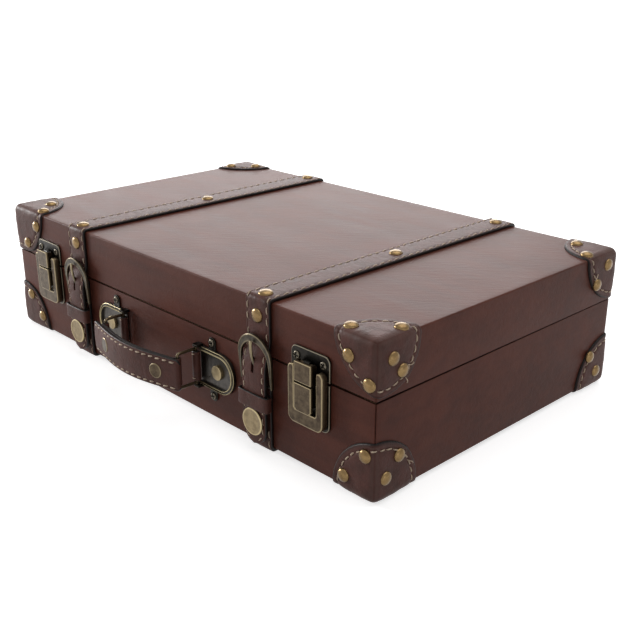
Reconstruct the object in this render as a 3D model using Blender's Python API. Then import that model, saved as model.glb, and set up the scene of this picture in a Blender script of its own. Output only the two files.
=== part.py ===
"""Small wooden suitcase box: a leatherette covered base and lid with leather
corners, two buckled belts, two tongue latches and a swinging leather handle.

Metres, +Z up, front towards -Y. The origin is the middle of the whole object's
footprint on the table. Most places on the front are given as (x, out, up):
x from the middle, out from the front face, up from the case's underside.
"""

import math

import bmesh
import bpy
from mathutils import Matrix, Vector

# Clearances: between touching pieces, and between base and lid.
GAP = 0.0003
SEAM = 0.001

# Case: outer sizes over the leatherette, and the layers inwards from it.
CASE_LENGTH = 0.411
CASE_DEPTH = 0.250
CASE_HEIGHT = 0.100
BASE_HEIGHT = 0.0629
COVER_THICK = 0.0008
BOARD_THICK = 0.006
PANEL_THICK = 0.004
LINING_THICK = 0.0006

# Leather corners and their domed nails.
CORNER_REACH = 0.036
CORNER_THICK = 0.0016
NAIL_RADIUS = 0.0046
NAIL_HEIGHT = 0.0022
NAIL_SINK = 0.0005

# Straps that run round the case.
STRAP_WIDTH = 0.022
STRAP_THICK = 0.0024
STRAP_END_MARGIN = 0.002
RIVET_RADIUS = 0.0048
RIVET_HEIGHT = 0.0024
RIVET_EDGE_INSET = 0.0075
RIVET_DROP_SHARE = 0.56
RIVET_BACK_MARGIN = 0.013

# Belt: the loose lower length of each strap, which hangs from the lid.
BELT_LATCH_SPACING = 0.0465
FLEX_DROP_SHARE = 0.431
BEND_RISE_SHARE = 0.62
BELT_BEND_DROP = 0.0089
BELT_OUT = 0.005
BELT_TIP_UP = 0.003
SLOT_WIDTH = 0.0028
SLOT_LOW = 0.0525
SLOT_HIGH = 0.0632
BUCKLE_HALF_WIDTH = 0.0157
BUCKLE_TOP = 0.0783
BUCKLE_ARCH = 0.0052
BUCKLE_LEG = 0.0027
BUCKLE_LOW = 0.0439
BUCKLE_THICK = 0.0021
BUCKLE_RISE = 0.0034
HEEL_UP = 0.0452
HEEL_RADIUS = 0.0008
PRONG_RADIUS = 0.0008
KEEPER_LOW = 0.0285
KEEPER_HIGH = 0.0387
KEEPER_HALF_WIDTH = 0.0142
KEEPER_THICK = 0.0017
CAP_RADIUS = 0.0094
CAP_THICK = 0.0016
CAP_UP = 0.0187
STUD_RADIUS = 0.005

# Latch: base plate, housing, slider, hasp and the plate on the lid. Rises are
# over the base's rim and drops are below it.
LATCH_END_INSET = 0.052
LATCH_PLATE_WIDTH = 0.032
LATCH_PLATE_DROP = 0.0321
LATCH_PLATE_RISE = 0.0175
LATCH_PLATE_THICK = 0.0013
LATCH_PLATE_ROUND = 0.0045
HOUSING_WIDTH = 0.030
HOUSING_DROP = 0.0313
HOUSING_RISE = 0.0073
HOUSING_THICK = 0.0035
HOUSING_ROUND = 0.005
ARM_ROUND = 0.0028
CHANNEL_WIDTH = 0.0195
CHANNEL_FLOOR = 0.0006
TONGUE_WIDTH = 0.0144
TONGUE_THICK = 0.0013
TONGUE_SPLIT_DROP = 0.0027
SLIDER_DROP = 0.0214
SLIDER_CHAMFER = 0.002
SLIDER_TRAVEL = 0.0035
SLIDER_BOSS_WIDTH = 0.012
SLIDER_BOSS_INSET = 0.004
HASP_TOP_RISE = 0.0016
HASP_WALL = 0.0012
HASP_PIVOT_RISE = 0.0095
HASP_PIN_RADIUS = 0.0008
HASP_LUG_RADIUS = 0.0016
HASP_LUG_WIDTH = 0.005
SCREW_RADIUS = 0.0026
SCREW_HEIGHT = 0.0010
LATCH_SCREW_OFFSET = 0.0115
LATCH_SCREW_RISE = 0.0113

# Handle: plates, wire rings, leather sleeves on their near bars, and the two layer grip.
HANDLE_UP = 0.0365
PLATE_BELT_SPACING = 0.0398
PLATE_LENGTH = 0.0202
PLATE_RADIUS = 0.0145
PLATE_THICK = 0.001
PLATE_RIM_WIDTH = 0.0026
PLATE_RIM_OUT = 0.0035
PLATE_TAB_INSET = 0.0095
PLATE_TAB_RADIUS = 0.0037
PLATE_TAB_UP = 0.0195
PLATE_RIVET_INSET = 0.003
PLATE_RIVET_RADIUS = 0.006
PLATE_RIVET_OUT = 0.0037
RING_PLATE_SPACE = 0.003
RING_OUT = 0.0045
RING_HALF_HEIGHT = 0.0125
WIRE_RADIUS = 0.0011
LUG_THICK = 0.0019
LUG_HALF_WIDTH = 0.0028
TAB_RADIUS = 0.0028
TAB_HALF_HEIGHT = 0.0108
GRIP_LOOP_RADIUS = 0.0026
GRIP_END_MARGIN = 0.0065
GRIP_HALF_HEIGHT = 0.01025
GRIP_SWELL = 0.0004
GRIP_LAYER = 0.0024
GRIP_INNER_LAYER = 0.0022
GRIP_LAYER_SPACE = 0.0006
GRIP_END_OUT = 0.0253
GRIP_BULGE = 0.0085
GRIP_FLAT_INSET = 0.002
GRIP_RIVET_INSET = 0.016
GRIP_RIVET_RADIUS = 0.0058
GRIP_RIVET_HEIGHT = 0.0009

# Back hinges.
HINGE_STRAP_SPACING = 0.045
HINGE_HALF_WIDTH = 0.015
HINGE_LEAF_HEIGHT = 0.012
HINGE_LEAF_THICK = 0.001
HINGE_RADIUS = 0.0022
HINGE_PIN_RADIUS = 0.001
HINGE_KNUCKLE_HALF = 0.0057
HINGE_SCREW_INSET = 0.005

# Cuts run past what they cut by this much.
OVERRUN = 0.002

# Facets.
NAIL_SEGMENTS = 10
ROUND_SEGMENTS = 20
WIRE_SIDES = 10
CORNER_SEGMENTS = 32
ARC_STEPS = 6
GRIP_STEPS = 24
BEND_STEPS = 8
EDGE_STEPS = 3

# Two nails on each face of a corner, as shares of CORNER_REACH. On the front
# and back the pair is (from the side, from top or bottom), on the sides (from
# front or back, from top or bottom), and on the top (from the side, from front
# or back). They are hand set, so each corner has its own places.
PLAIN_SHARES = ((0.69, 0.25), (0.22, 0.72))
CORNER_NAIL_SHARES = {
    "lid_front_left": (((0.97, 0.29), (0.49, 0.76)), PLAIN_SHARES, ((1.04, 0.13), (0.61, 0.56))),
    "lid_front_right": (((0.56, 0.35), (0.11, 0.72)), ((0.31, 0.32), (0.54, 0.585)),
                        ((0.71, 0.15), (0.125, 0.68))),
    "lid_back_left": (PLAIN_SHARES, PLAIN_SHARES, PLAIN_SHARES),
    "lid_back_right": (PLAIN_SHARES, ((0.66, 0.555), (0.32, 0.215)), ((0.67, 0.33), (0.14, 0.83))),
    "base_front_left": (((0.39, 0.725), (0.83, 0.295)), PLAIN_SHARES, ()),
    "base_front_right": (((0.165, 0.79), (0.64, 0.25)), ((0.53, 0.68), (0.215, 0.375)), ()),
    "base_back_left": (PLAIN_SHARES, PLAIN_SHARES, ()),
    "base_back_right": (PLAIN_SHARES, ((0.625, 0.67), (0.335, 0.28)), ()),
}
CORNER_REACH_SHARES = {
    "lid_front_left": 1.19,
    "lid_front_right": 0.97,
    "base_front_left": 1.04,
}

# Derived places.
CASE_UP = STRAP_THICK + GAP
BASE_TOP = CASE_UP + BASE_HEIGHT
LID_BOTTOM = BASE_TOP + SEAM
LID_TOP = CASE_UP + CASE_HEIGHT
HALF_LENGTH = CASE_LENGTH / 2
HALF_DEPTH = CASE_DEPTH / 2
BACK_REACH = max(GAP + STRAP_THICK + RIVET_HEIGHT, GAP + 2 * HINGE_RADIUS)
FRONT_REACH = GRIP_END_OUT + GRIP_BULGE
CASE_Y = (FRONT_REACH - BACK_REACH) / 2
FRONT_Y = CASE_Y - HALF_DEPTH
BACK_Y = CASE_Y + HALF_DEPTH
HINGE_Y = BACK_Y + GAP + HINGE_RADIUS
HINGE_Z = BASE_TOP + SEAM / 2
STRAP_OUT = GAP + STRAP_THICK
LATCH_OFFSET = HALF_LENGTH - LATCH_END_INSET
STRAP_OFFSET = LATCH_OFFSET - BELT_LATCH_SPACING
PLATE_CENTRE = STRAP_OFFSET - PLATE_BELT_SPACING
PLATE_INNER = PLATE_CENTRE - PLATE_LENGTH
PLATE_TAB_OFFSET = PLATE_CENTRE - PLATE_TAB_INSET
RING_OFFSET = PLATE_INNER - RING_PLATE_SPACE
HINGE_OFFSET = STRAP_OFFSET - HINGE_STRAP_SPACING
FLEX_UP = CASE_HEIGHT - (CASE_HEIGHT - BASE_HEIGHT) * FLEX_DROP_SHARE
RIVET_FRONT_DROP = (CASE_HEIGHT - FLEX_UP) * RIVET_DROP_SHARE
BELT_BEND_TOP = BASE_HEIGHT + (FLEX_UP - BASE_HEIGHT) * BEND_RISE_SHARE
BELT_BEND_END = BASE_HEIGHT - BELT_BEND_DROP
LATCH_PLATE_LOW = BASE_HEIGHT - LATCH_PLATE_DROP
LATCH_PLATE_TOP = BASE_HEIGHT + LATCH_PLATE_RISE
HOUSING_LOW = BASE_HEIGHT - HOUSING_DROP
HOUSING_TOP = BASE_HEIGHT + HOUSING_RISE
TONGUE_SPLIT = BASE_HEIGHT - TONGUE_SPLIT_DROP
SLIDER_LOW = BASE_HEIGHT - SLIDER_DROP
HASP_PIVOT_UP = BASE_HEIGHT + HASP_PIVOT_RISE
LATCH_SCREW_UP = BASE_HEIGHT + LATCH_SCREW_RISE
HOUSING_OUT = LATCH_PLATE_THICK + 2 * GAP
TONGUE_OUT = HOUSING_OUT + HOUSING_THICK + GAP
HASP_PIVOT_OUT = GAP + LATCH_PLATE_THICK + HASP_LUG_RADIUS + 2 * GAP
GRIP_HALF_LENGTH = RING_OFFSET + GRIP_END_MARGIN
GRIP_FLAT_FROM = RING_OFFSET - GRIP_FLAT_INSET
GRIP_RIVET_OFFSET = RING_OFFSET - GRIP_RIVET_INSET
GRIP_BAR_OUT = GRIP_END_OUT - GRIP_LAYER - GAP - GRIP_LOOP_RADIUS
PLATE_RIVET_OFFSET = PLATE_CENTRE - PLATE_RIVET_INSET


def point(x, out, up):
    """A place given by x, distance out of the front face and height."""
    return Vector((x, FRONT_Y - out, CASE_UP + up))


# Materials.
def material(name, colour, roughness, metallic=0.0):
    made = bpy.data.materials.new(name)
    made.use_nodes = True
    shader = made.node_tree.nodes["Principled BSDF"]
    shader.inputs["Base Color"].default_value = (*colour, 1.0)
    shader.inputs["Roughness"].default_value = roughness
    shader.inputs["Metallic"].default_value = metallic
    made.diffuse_color = (*colour, 1.0)
    return made


PALETTE = {
    "leatherette": ((0.085, 0.036, 0.028), 0.5, 0.0),
    "wood": ((0.45, 0.30, 0.17), 0.6, 0.0),
    "lining": ((0.42, 0.33, 0.22), 0.9, 0.0),
    "leather": ((0.058, 0.034, 0.031), 0.55, 0.0),
    "brass": ((0.36, 0.26, 0.11), 0.35, 1.0),
    "dark_brass": ((0.16, 0.14, 0.10), 0.4, 1.0),
}


# Mesh builders.
def new_object(name, mesh):
    made = bpy.data.objects.new(name, mesh)
    bpy.context.collection.objects.link(made)
    return made


def solid(name, vertices, faces):
    """A closed object from plain lists, with its faces turned outwards."""
    mesh = bpy.data.meshes.new(name)
    mesh.from_pydata([tuple(v) for v in vertices], [], faces)
    edit = bmesh.new()
    edit.from_mesh(mesh)
    bmesh.ops.recalc_face_normals(edit, faces=edit.faces)
    edit.to_mesh(mesh)
    edit.free()
    return new_object(name, mesh)


def loft(name, rows):
    """Joins sections with the same number of points and caps both ends."""
    count = len(rows[0])
    vertices = [v for row in rows for v in row]
    faces = [list(range(count))]
    for row in range(len(rows) - 1):
        for i in range(count):
            j = (i + 1) % count
            low = row * count
            faces.append([low + i, low + j, low + count + j, low + count + i])
    faces.append([(len(rows) - 1) * count + i for i in range(count)])
    return solid(name, vertices, faces)


def box(name, low, high):
    (x0, y0, z0), (x1, y1, z1) = low, high
    rows = [[(x0, y0, z), (x1, y0, z), (x1, y1, z), (x0, y1, z)] for z in (z0, z1)]
    return loft(name, rows)


def front_prism(name, outline, near, far):
    """Extrudes an (x, up) outline between two distances out of the front."""
    return loft(name, [[point(x, out, up) for x, up in outline] for out in (near, far)])


def side_prism(name, outline, x0, x1):
    """Extrudes an (out, up) outline along X."""
    return loft(name, [[point(x, out, up) for out, up in outline] for x in (x0, x1)])


def tube(name, path, radius, sides):
    """A capped round wire along a polyline with mitred bends."""
    rows = []
    normal = None
    for i, spot in enumerate(path):
        before = (spot - path[i - 1]).normalized() if i else (path[1] - path[0]).normalized()
        after = (path[i + 1] - spot).normalized() if i < len(path) - 1 else before
        along = (before + after).normalized()
        if normal is None:
            normal = along.orthogonal().normalized()
        normal = (normal - along * normal.dot(along)).normalized()
        side = along.cross(normal)
        stretch = 1.0 / max(before.dot(along), 0.5)
        bend = after - before
        if bend.length > 1e-6:
            bend.normalize()
        ring = []
        for k in range(sides):
            turn = 2 * math.pi * k / sides
            offset = (normal * math.cos(turn) + side * math.sin(turn)) * radius
            ring.append(spot + offset + bend * bend.dot(offset) * (stretch - 1.0))
        rows.append(ring)
    return loft(name, rows)


def rod(name, start, end, radius, sides=ROUND_SEGMENTS):
    return tube(name, [Vector(start), Vector(end)], radius, sides)


def dome(name, centre, normal, radius, height, segments=NAIL_SEGMENTS, rings=3):
    """A nail head on a surface, with its foot sunk into it."""
    normal = Vector(normal).normalized()
    across = normal.orthogonal().normalized()
    if abs(normal.z) < 0.5:
        across = Vector((0, 0, 1))
        across = (across - normal * across.dot(normal)).normalized()
    side = normal.cross(across)
    rows = []
    levels = [(radius, -NAIL_SINK)]
    for k in range(rings):
        turn = math.pi / 2 * k / rings
        levels.append((radius * math.cos(turn), height * math.sin(turn)))
    for size, level in levels:
        rows.append([centre + normal * level + (across * math.cos(a) + side * math.sin(a)) * size
                     for a in (2 * math.pi * k / segments for k in range(segments))])
    vertices = [v for row in rows for v in row] + [centre + normal * height]
    faces = [list(range(segments))]
    for row in range(len(rows) - 1):
        for i in range(segments):
            j = (i + 1) % segments
            low = row * segments
            faces.append([low + i, low + j, low + segments + j, low + segments + i])
    low = (len(rows) - 1) * segments
    faces += [[low + i, low + (i + 1) % segments, len(vertices) - 1] for i in range(segments)]
    return solid(name, vertices, faces)


def combine(target, pieces, operation="UNION"):
    """Joins, cuts or intersects the pieces into the target and removes them."""
    for piece in pieces:
        modifier = target.modifiers.new(operation.lower(), "BOOLEAN")
        modifier.operation = operation
        modifier.solver = "EXACT"
        modifier.object = piece
        bpy.context.view_layer.update()
        graph = bpy.context.evaluated_depsgraph_get()
        result = bpy.data.meshes.new_from_object(target.evaluated_get(graph))
        old = target.data
        target.modifiers.remove(modifier)
        target.data = result
        bpy.data.meshes.remove(old)
        used = piece.data
        bpy.data.objects.remove(piece)
        bpy.data.meshes.remove(used)
    return target


def rounded(x0, x1, low, high, low_round, high_round):
    """A rectangle's outline with rounded lower and upper corners."""
    corners = (
        (x1 - low_round, low + low_round, low_round, -90),
        (x1 - high_round, high - high_round, high_round, 0),
        (x0 + high_round, high - high_round, high_round, 90),
        (x0 + low_round, low + low_round, low_round, 180),
    )
    outline = []
    for cx, cy, radius, start in corners:
        if radius == 0:
            outline.append((cx, cy))
            continue
        for k in range(ARC_STEPS + 1):
            turn = math.radians(start + 90 * k / ARC_STEPS)
            outline.append((cx + radius * math.cos(turn), cy + radius * math.sin(turn)))
    return outline


# Pivots and homes.
def pivot(name, place, parent=None):
    made = bpy.data.objects.new(name, None)
    made.empty_display_type = "ARROWS"
    made.empty_display_size = GRIP_HALF_HEIGHT
    bpy.context.collection.objects.link(made)
    settle(made, Vector(place), parent)
    return made


HOMES = {}


def settle(item, place, parent):
    """Parents an object and puts its origin at a place given in the world."""
    HOMES[item.name] = Vector(place)
    if item.data is not None:
        item.data.transform(Matrix.Translation(-Vector(place)))
    item.parent = parent
    item.location = Vector(place) - (HOMES[parent.name] if parent else Vector())


def finish(item, kind, parent, place=None, smooth=False):
    """Gives a finished piece its own material, its origin and its parent."""
    if place is None:
        corners = [Vector(c) for c in item.bound_box]
        place = (corners[0] + corners[6]) / 2
    item.data.name = item.name
    item.data.materials.clear()
    item.data.materials.append(material(item.name, *PALETTE[kind]))
    if smooth:
        item.data.shade_smooth()
        item.data.set_sharp_from_angle(angle=math.radians(35))
    settle(item, place, parent)
    return item


for old in list(bpy.data.objects):
    bpy.data.objects.remove(old)
for old in list(bpy.data.meshes):
    bpy.data.meshes.remove(old)

case = pivot("case", (0, CASE_Y, 0))
lid = pivot("lid_hinge", (0, HINGE_Y, HINGE_Z), case)


# Boards, cover and lining.
def tray(name, low, high, wall, floor, open_up):
    """A five sided box with one open side, its floor away from the opening."""
    (x0, y0, z0), (x1, y1, z1) = low, high
    mouth, back = (z1, z0) if open_up else (z0, z1)
    inner_floor = back + floor if open_up else back - floor
    outer = [(x0, y0), (x1, y0), (x1, y1), (x0, y1)]
    x0, x1, y0, y1 = x0 + wall, x1 - wall, y0 + wall, y1 - wall
    inner = [(x0, y0), (x1, y0), (x1, y1), (x0, y1)]
    rows = [[(x, y, back) for x, y in outer], [(x, y, mouth) for x, y in outer],
            [(x, y, mouth) for x, y in inner], [(x, y, inner_floor) for x, y in inner]]
    return loft(name, rows)


def shell(side, low, high, parent, open_up):
    """Cover, five boards and lining of the base or the lid."""
    x0, x1 = -HALF_LENGTH, HALF_LENGTH
    y0, y1 = FRONT_Y, BACK_Y
    cover = tray(side + "_cover", (x0, y0, low), (x1, y1, high), COVER_THICK, COVER_THICK, open_up)
    finish(cover, "leatherette", parent)
    skin = COVER_THICK + GAP
    x0, x1, y0, y1 = x0 + skin, x1 - skin, y0 + skin, y1 - skin
    if open_up:
        panel = (low + skin, low + skin + PANEL_THICK)
        wall = (panel[1] + GAP, high)
    else:
        panel = (high - skin - PANEL_THICK, high - skin)
        wall = (low, panel[0] - GAP)
    panel_name = "_bottom_board" if open_up else "_top_board"
    ends = BOARD_THICK + GAP
    boards = {
        panel_name: ((x0, y0, panel[0]), (x1, y1, panel[1])),
        "_front_board": ((x0, y0, wall[0]), (x1, y0 + BOARD_THICK, wall[1])),
        "_back_board": ((x0, y1 - BOARD_THICK, wall[0]), (x1, y1, wall[1])),
        "_left_board": ((x0, y0 + ends, wall[0]), (x0 + BOARD_THICK, y1 - ends, wall[1])),
        "_right_board": ((x1 - BOARD_THICK, y0 + ends, wall[0]), (x1, y1 - ends, wall[1])),
    }
    for name, (a, b) in boards.items():
        finish(box(side + name, a, b), "wood", parent)
    lining = tray(side + "_lining", (x0 + ends, y0 + ends, wall[0]), (x1 - ends, y1 - ends, wall[1]),
                  LINING_THICK, LINING_THICK, open_up)
    finish(lining, "lining", parent)


shell("base", CASE_UP, BASE_TOP, case, True)
shell("lid", LID_BOTTOM, LID_TOP, lid, False)


# Leather corners.
def corner(name, parent):
    """Leather over three faces, bounded by a ball about the case's corner."""
    is_lid = name.startswith("lid")
    across = 1 if name.endswith("right") else -1
    deep = -1 if "_front_" in name else 1
    rise = 1 if is_lid else -1
    home = Vector((across * HALF_LENGTH, BACK_Y if deep > 0 else FRONT_Y, LID_TOP if is_lid else CASE_UP))
    reach = CORNER_REACH * CORNER_REACH_SHARES.get(name, 1.0)
    height = (CASE_HEIGHT - BASE_HEIGHT - SEAM if is_lid else BASE_HEIGHT) - GAP

    def place(u, v, w):
        return home - Vector((across * u, deep * v, rise * w))

    def block(label, low, high, top):
        rows = [[place(low, low, w), place(high, low, w), place(high, high, w), place(low, high, w)]
                for w in (low, top)]
        return loft(label, rows)

    outer = -(GAP + CORNER_THICK)
    far = reach + OVERRUN
    leather = block(name, outer, far, min(far, height))
    core = block("core", -GAP, far + OVERRUN, far + OVERRUN)
    ball_mesh = bpy.data.meshes.new("ball")
    edit = bmesh.new()
    bmesh.ops.create_uvsphere(edit, u_segments=CORNER_SEGMENTS, v_segments=CORNER_SEGMENTS // 2,
                              radius=reach)
    bmesh.ops.translate(edit, verts=edit.verts, vec=home)
    edit.to_mesh(ball_mesh)
    edit.free()
    ball = new_object("ball", ball_mesh)
    combine(leather, [core], "DIFFERENCE")
    combine(leather, [ball], "INTERSECT")
    front, side, flat = CORNER_NAIL_SHARES["_".join(name.split("_")[:3])]
    nails = []
    for u, w in front:
        nails.append(dome("nail", place(u * CORNER_REACH, outer, w * CORNER_REACH), (0, deep, 0),
                          NAIL_RADIUS, NAIL_HEIGHT))
    for v, w in side:
        nails.append(dome("nail", place(outer, v * CORNER_REACH, w * CORNER_REACH), (across, 0, 0),
                          NAIL_RADIUS, NAIL_HEIGHT))
    for u, v in flat:
        nails.append(dome("nail", place(u * CORNER_REACH, v * CORNER_REACH, outer), (0, 0, rise),
                          NAIL_RADIUS, NAIL_HEIGHT))
    combine(leather, nails)
    finish(leather, "leather", parent)


for label in CORNER_NAIL_SHARES:
    corner(label, lid if label.startswith("lid") else case)


# Straps.
def wrap_rows(x, half, low_end, high_end, over):
    """Sections of a strap round the case: over the lid or under the base."""
    inner, outer = GAP, STRAP_OUT
    edge = LID_TOP if over else CASE_UP
    sign = 1 if over else -1
    rows = []

    def section(y, z, direction):
        near = Vector((0, y, z)) + direction * inner
        far = Vector((0, y, z)) + direction * outer
        return [Vector((x - half, near.y, near.z)), Vector((x + half, near.y, near.z)),
                Vector((x + half, far.y, far.z)), Vector((x - half, far.y, far.z))]

    rows.append(section(FRONT_Y, low_end, Vector((0, -1, 0))))
    turns = [math.pi / 2 * k / EDGE_STEPS for k in range(EDGE_STEPS + 1)]
    for turn in turns:
        rows.append(section(FRONT_Y, edge, Vector((0, -math.cos(turn), sign * math.sin(turn)))))
    for turn in turns:
        rows.append(section(BACK_Y, edge, Vector((0, math.sin(turn), sign * math.cos(turn)))))
    rows.append(section(BACK_Y, high_end, Vector((0, 1, 0))))
    return rows


def lid_strap(name, x):
    strap = loft(name, wrap_rows(x, STRAP_WIDTH / 2, CASE_UP + FLEX_UP + GAP / 2,
                                 LID_BOTTOM + STRAP_END_MARGIN, True))
    top = LID_TOP + STRAP_OUT
    along = (FRONT_Y + RIVET_EDGE_INSET, CASE_Y, BACK_Y - RIVET_EDGE_INSET)
    heads = [((x, y, top), (0, 0, 1)) for y in along]
    heads.append(((x, FRONT_Y - STRAP_OUT, LID_TOP - RIVET_FRONT_DROP), (0, -1, 0)))
    heads.append(((x, BACK_Y + STRAP_OUT, LID_BOTTOM + RIVET_BACK_MARGIN), (0, 1, 0)))
    combine(strap, [dome("rivet", Vector(p), n, RIVET_RADIUS, RIVET_HEIGHT) for p, n in heads])
    finish(strap, "leather", lid)


def base_strap(name, x):
    strap = loft(name, wrap_rows(x, STRAP_WIDTH / 2, BASE_TOP - STRAP_END_MARGIN,
                                 BASE_TOP - STRAP_END_MARGIN, False))
    head = Vector((x, BACK_Y + STRAP_OUT, BASE_TOP - RIVET_BACK_MARGIN))
    combine(strap, [dome("rivet", head, (0, 1, 0), RIVET_RADIUS, RIVET_HEIGHT)])
    finish(strap, "leather", case)


# Belts.
def belt_back(up):
    """How far out the belt's back face lies at a height."""
    share = min(max((BELT_BEND_TOP - up) / (BELT_BEND_TOP - BELT_BEND_END), 0.0), 1.0)
    return GAP + (BELT_OUT - GAP) * share * share * (3 - 2 * share)


def buckle_out(up):
    """The buckle leans from its heel bar behind the belt to its arch before it."""
    heel_out = BELT_OUT - GAP - HEEL_RADIUS
    arch_out = belt_back(BUCKLE_TOP - BUCKLE_ARCH) + STRAP_THICK + BUCKLE_RISE
    share = (up - HEEL_UP) / (BUCKLE_TOP - HEEL_UP)
    return heel_out + (arch_out - heel_out) * share


def belt(side, x):
    turn_at = point(x, STRAP_OUT, FLEX_UP)
    home = pivot("belt_" + side, turn_at, lid)
    half = STRAP_WIDTH / 2

    levels = [FLEX_UP - GAP / 2, (FLEX_UP + BELT_BEND_TOP) / 2]
    drop = (BELT_BEND_TOP - BELT_BEND_END) / BEND_STEPS
    levels += [BELT_BEND_TOP - drop * k for k in range(BEND_STEPS + 1)]
    rows = []
    for up in levels:
        back = belt_back(up)
        rows.append([point(x - half, back, up), point(x + half, back, up),
                     point(x + half, back + STRAP_THICK, up), point(x - half, back + STRAP_THICK, up)])
    for k in range(2 * ARC_STEPS):
        turn = math.pi / 2 * k / (2 * ARC_STEPS)
        up = BELT_TIP_UP + half * (1 - math.sin(turn))
        size = half * math.cos(turn)
        front = BELT_OUT + STRAP_THICK
        rows.append([point(x - size, BELT_OUT, up), point(x + size, BELT_OUT, up),
                     point(x + size, front, up), point(x - size, front, up)])
    tongue = loft("belt_tongue_" + side, rows)
    slot = front_prism("slot", rounded(x - SLOT_WIDTH / 2, x + SLOT_WIDTH / 2, SLOT_LOW, SLOT_HIGH,
                                       SLOT_WIDTH / 2 - GAP, SLOT_WIDTH / 2 - GAP),
                       GAP / 2, BELT_OUT + STRAP_THICK + OVERRUN)
    combine(tongue, [slot], "DIFFERENCE")
    finish(tongue, "leather", home, turn_at)

    outer, inner = [], []
    inner_radius = BUCKLE_HALF_WIDTH - BUCKLE_LEG
    for k in range(ROUND_SEGMENTS + 1):
        turn = math.pi * k / ROUND_SEGMENTS
        outer.append((x + BUCKLE_HALF_WIDTH * math.cos(turn),
                      BUCKLE_TOP - BUCKLE_HALF_WIDTH + BUCKLE_HALF_WIDTH * math.sin(turn)))
        inner.append((x + inner_radius * math.cos(turn),
                      BUCKLE_TOP - BUCKLE_ARCH - inner_radius + inner_radius * math.sin(turn)))
    foot = BUCKLE_HALF_WIDTH - BUCKLE_LEG / 2
    point_half = BUCKLE_LEG / 4
    left_foot = [(x - foot - point_half, BUCKLE_LOW), (x - foot + point_half, BUCKLE_LOW)]
    right_foot = [(x + foot - point_half, BUCKLE_LOW), (x + foot + point_half, BUCKLE_LOW)]
    outline = [*outer, *left_foot, *reversed(inner), *right_foot]
    frame = loft("buckle_" + side, [[point(px, buckle_out(up) + lean, up) for px, up in outline]
                                    for lean in (-BUCKLE_THICK / 2, BUCKLE_THICK / 2)])
    heel = rod("heel", point(x - foot, buckle_out(HEEL_UP), HEEL_UP),
               point(x + foot, buckle_out(HEEL_UP), HEEL_UP), HEEL_RADIUS, WIRE_SIDES)
    combine(frame, [heel])
    finish(frame, "dark_brass", home, turn_at)

    front = BELT_OUT + STRAP_THICK
    arch_front = buckle_out(BUCKLE_TOP - BUCKLE_ARCH / 2) + BUCKLE_THICK / 2 + GAP + PRONG_RADIUS
    start = HEEL_UP + HEEL_RADIUS + PRONG_RADIUS + GAP
    path = [(buckle_out(HEEL_UP), start), (buckle_out(HEEL_UP), SLOT_LOW + PRONG_RADIUS),
            (BELT_OUT + STRAP_THICK / 2, (SLOT_LOW + SLOT_HIGH) / 2 + PRONG_RADIUS),
            (front + PRONG_RADIUS / 2, SLOT_HIGH + PRONG_RADIUS),
            (arch_front, BUCKLE_TOP - BUCKLE_ARCH - 2 * PRONG_RADIUS),
            (arch_front, BUCKLE_TOP - BUCKLE_ARCH / 2)]
    prong = tube("prong_" + side, [point(x, out, up) for out, up in path], PRONG_RADIUS, WIRE_SIDES)
    finish(prong, "dark_brass", home, turn_at, smooth=True)

    back = BELT_OUT - GAP - KEEPER_THICK + GAP / 3
    keeper_front = front + GAP + KEEPER_THICK
    keeper = box("keeper_" + side, point(x - KEEPER_HALF_WIDTH, keeper_front, KEEPER_LOW),
                 point(x + KEEPER_HALF_WIDTH, back, KEEPER_HIGH))
    hole = box("hole", point(x - KEEPER_HALF_WIDTH + KEEPER_THICK, front + GAP, KEEPER_LOW - OVERRUN),
               point(x + KEEPER_HALF_WIDTH - KEEPER_THICK, BELT_OUT - GAP, KEEPER_HIGH + OVERRUN))
    combine(keeper, [hole], "DIFFERENCE")
    finish(keeper, "leather", home, turn_at)

    cap_back = front + GAP
    cap = rod("snap_cap_" + side, point(x, cap_back, CAP_UP), point(x, cap_back + CAP_THICK, CAP_UP),
              CAP_RADIUS)
    finish(cap, "brass", home, turn_at, smooth=True)
    stud = rod("snap_stud_" + side, point(x, STRAP_OUT + GAP, CAP_UP), point(x, BELT_OUT - GAP, CAP_UP),
               STUD_RADIUS)
    finish(stud, "brass", case, smooth=True)


for label, x in (("left", -STRAP_OFFSET), ("right", STRAP_OFFSET)):
    lid_strap("lid_strap_" + label, x)
    base_strap("base_strap_" + label, x)
    belt(label, x)


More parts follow.
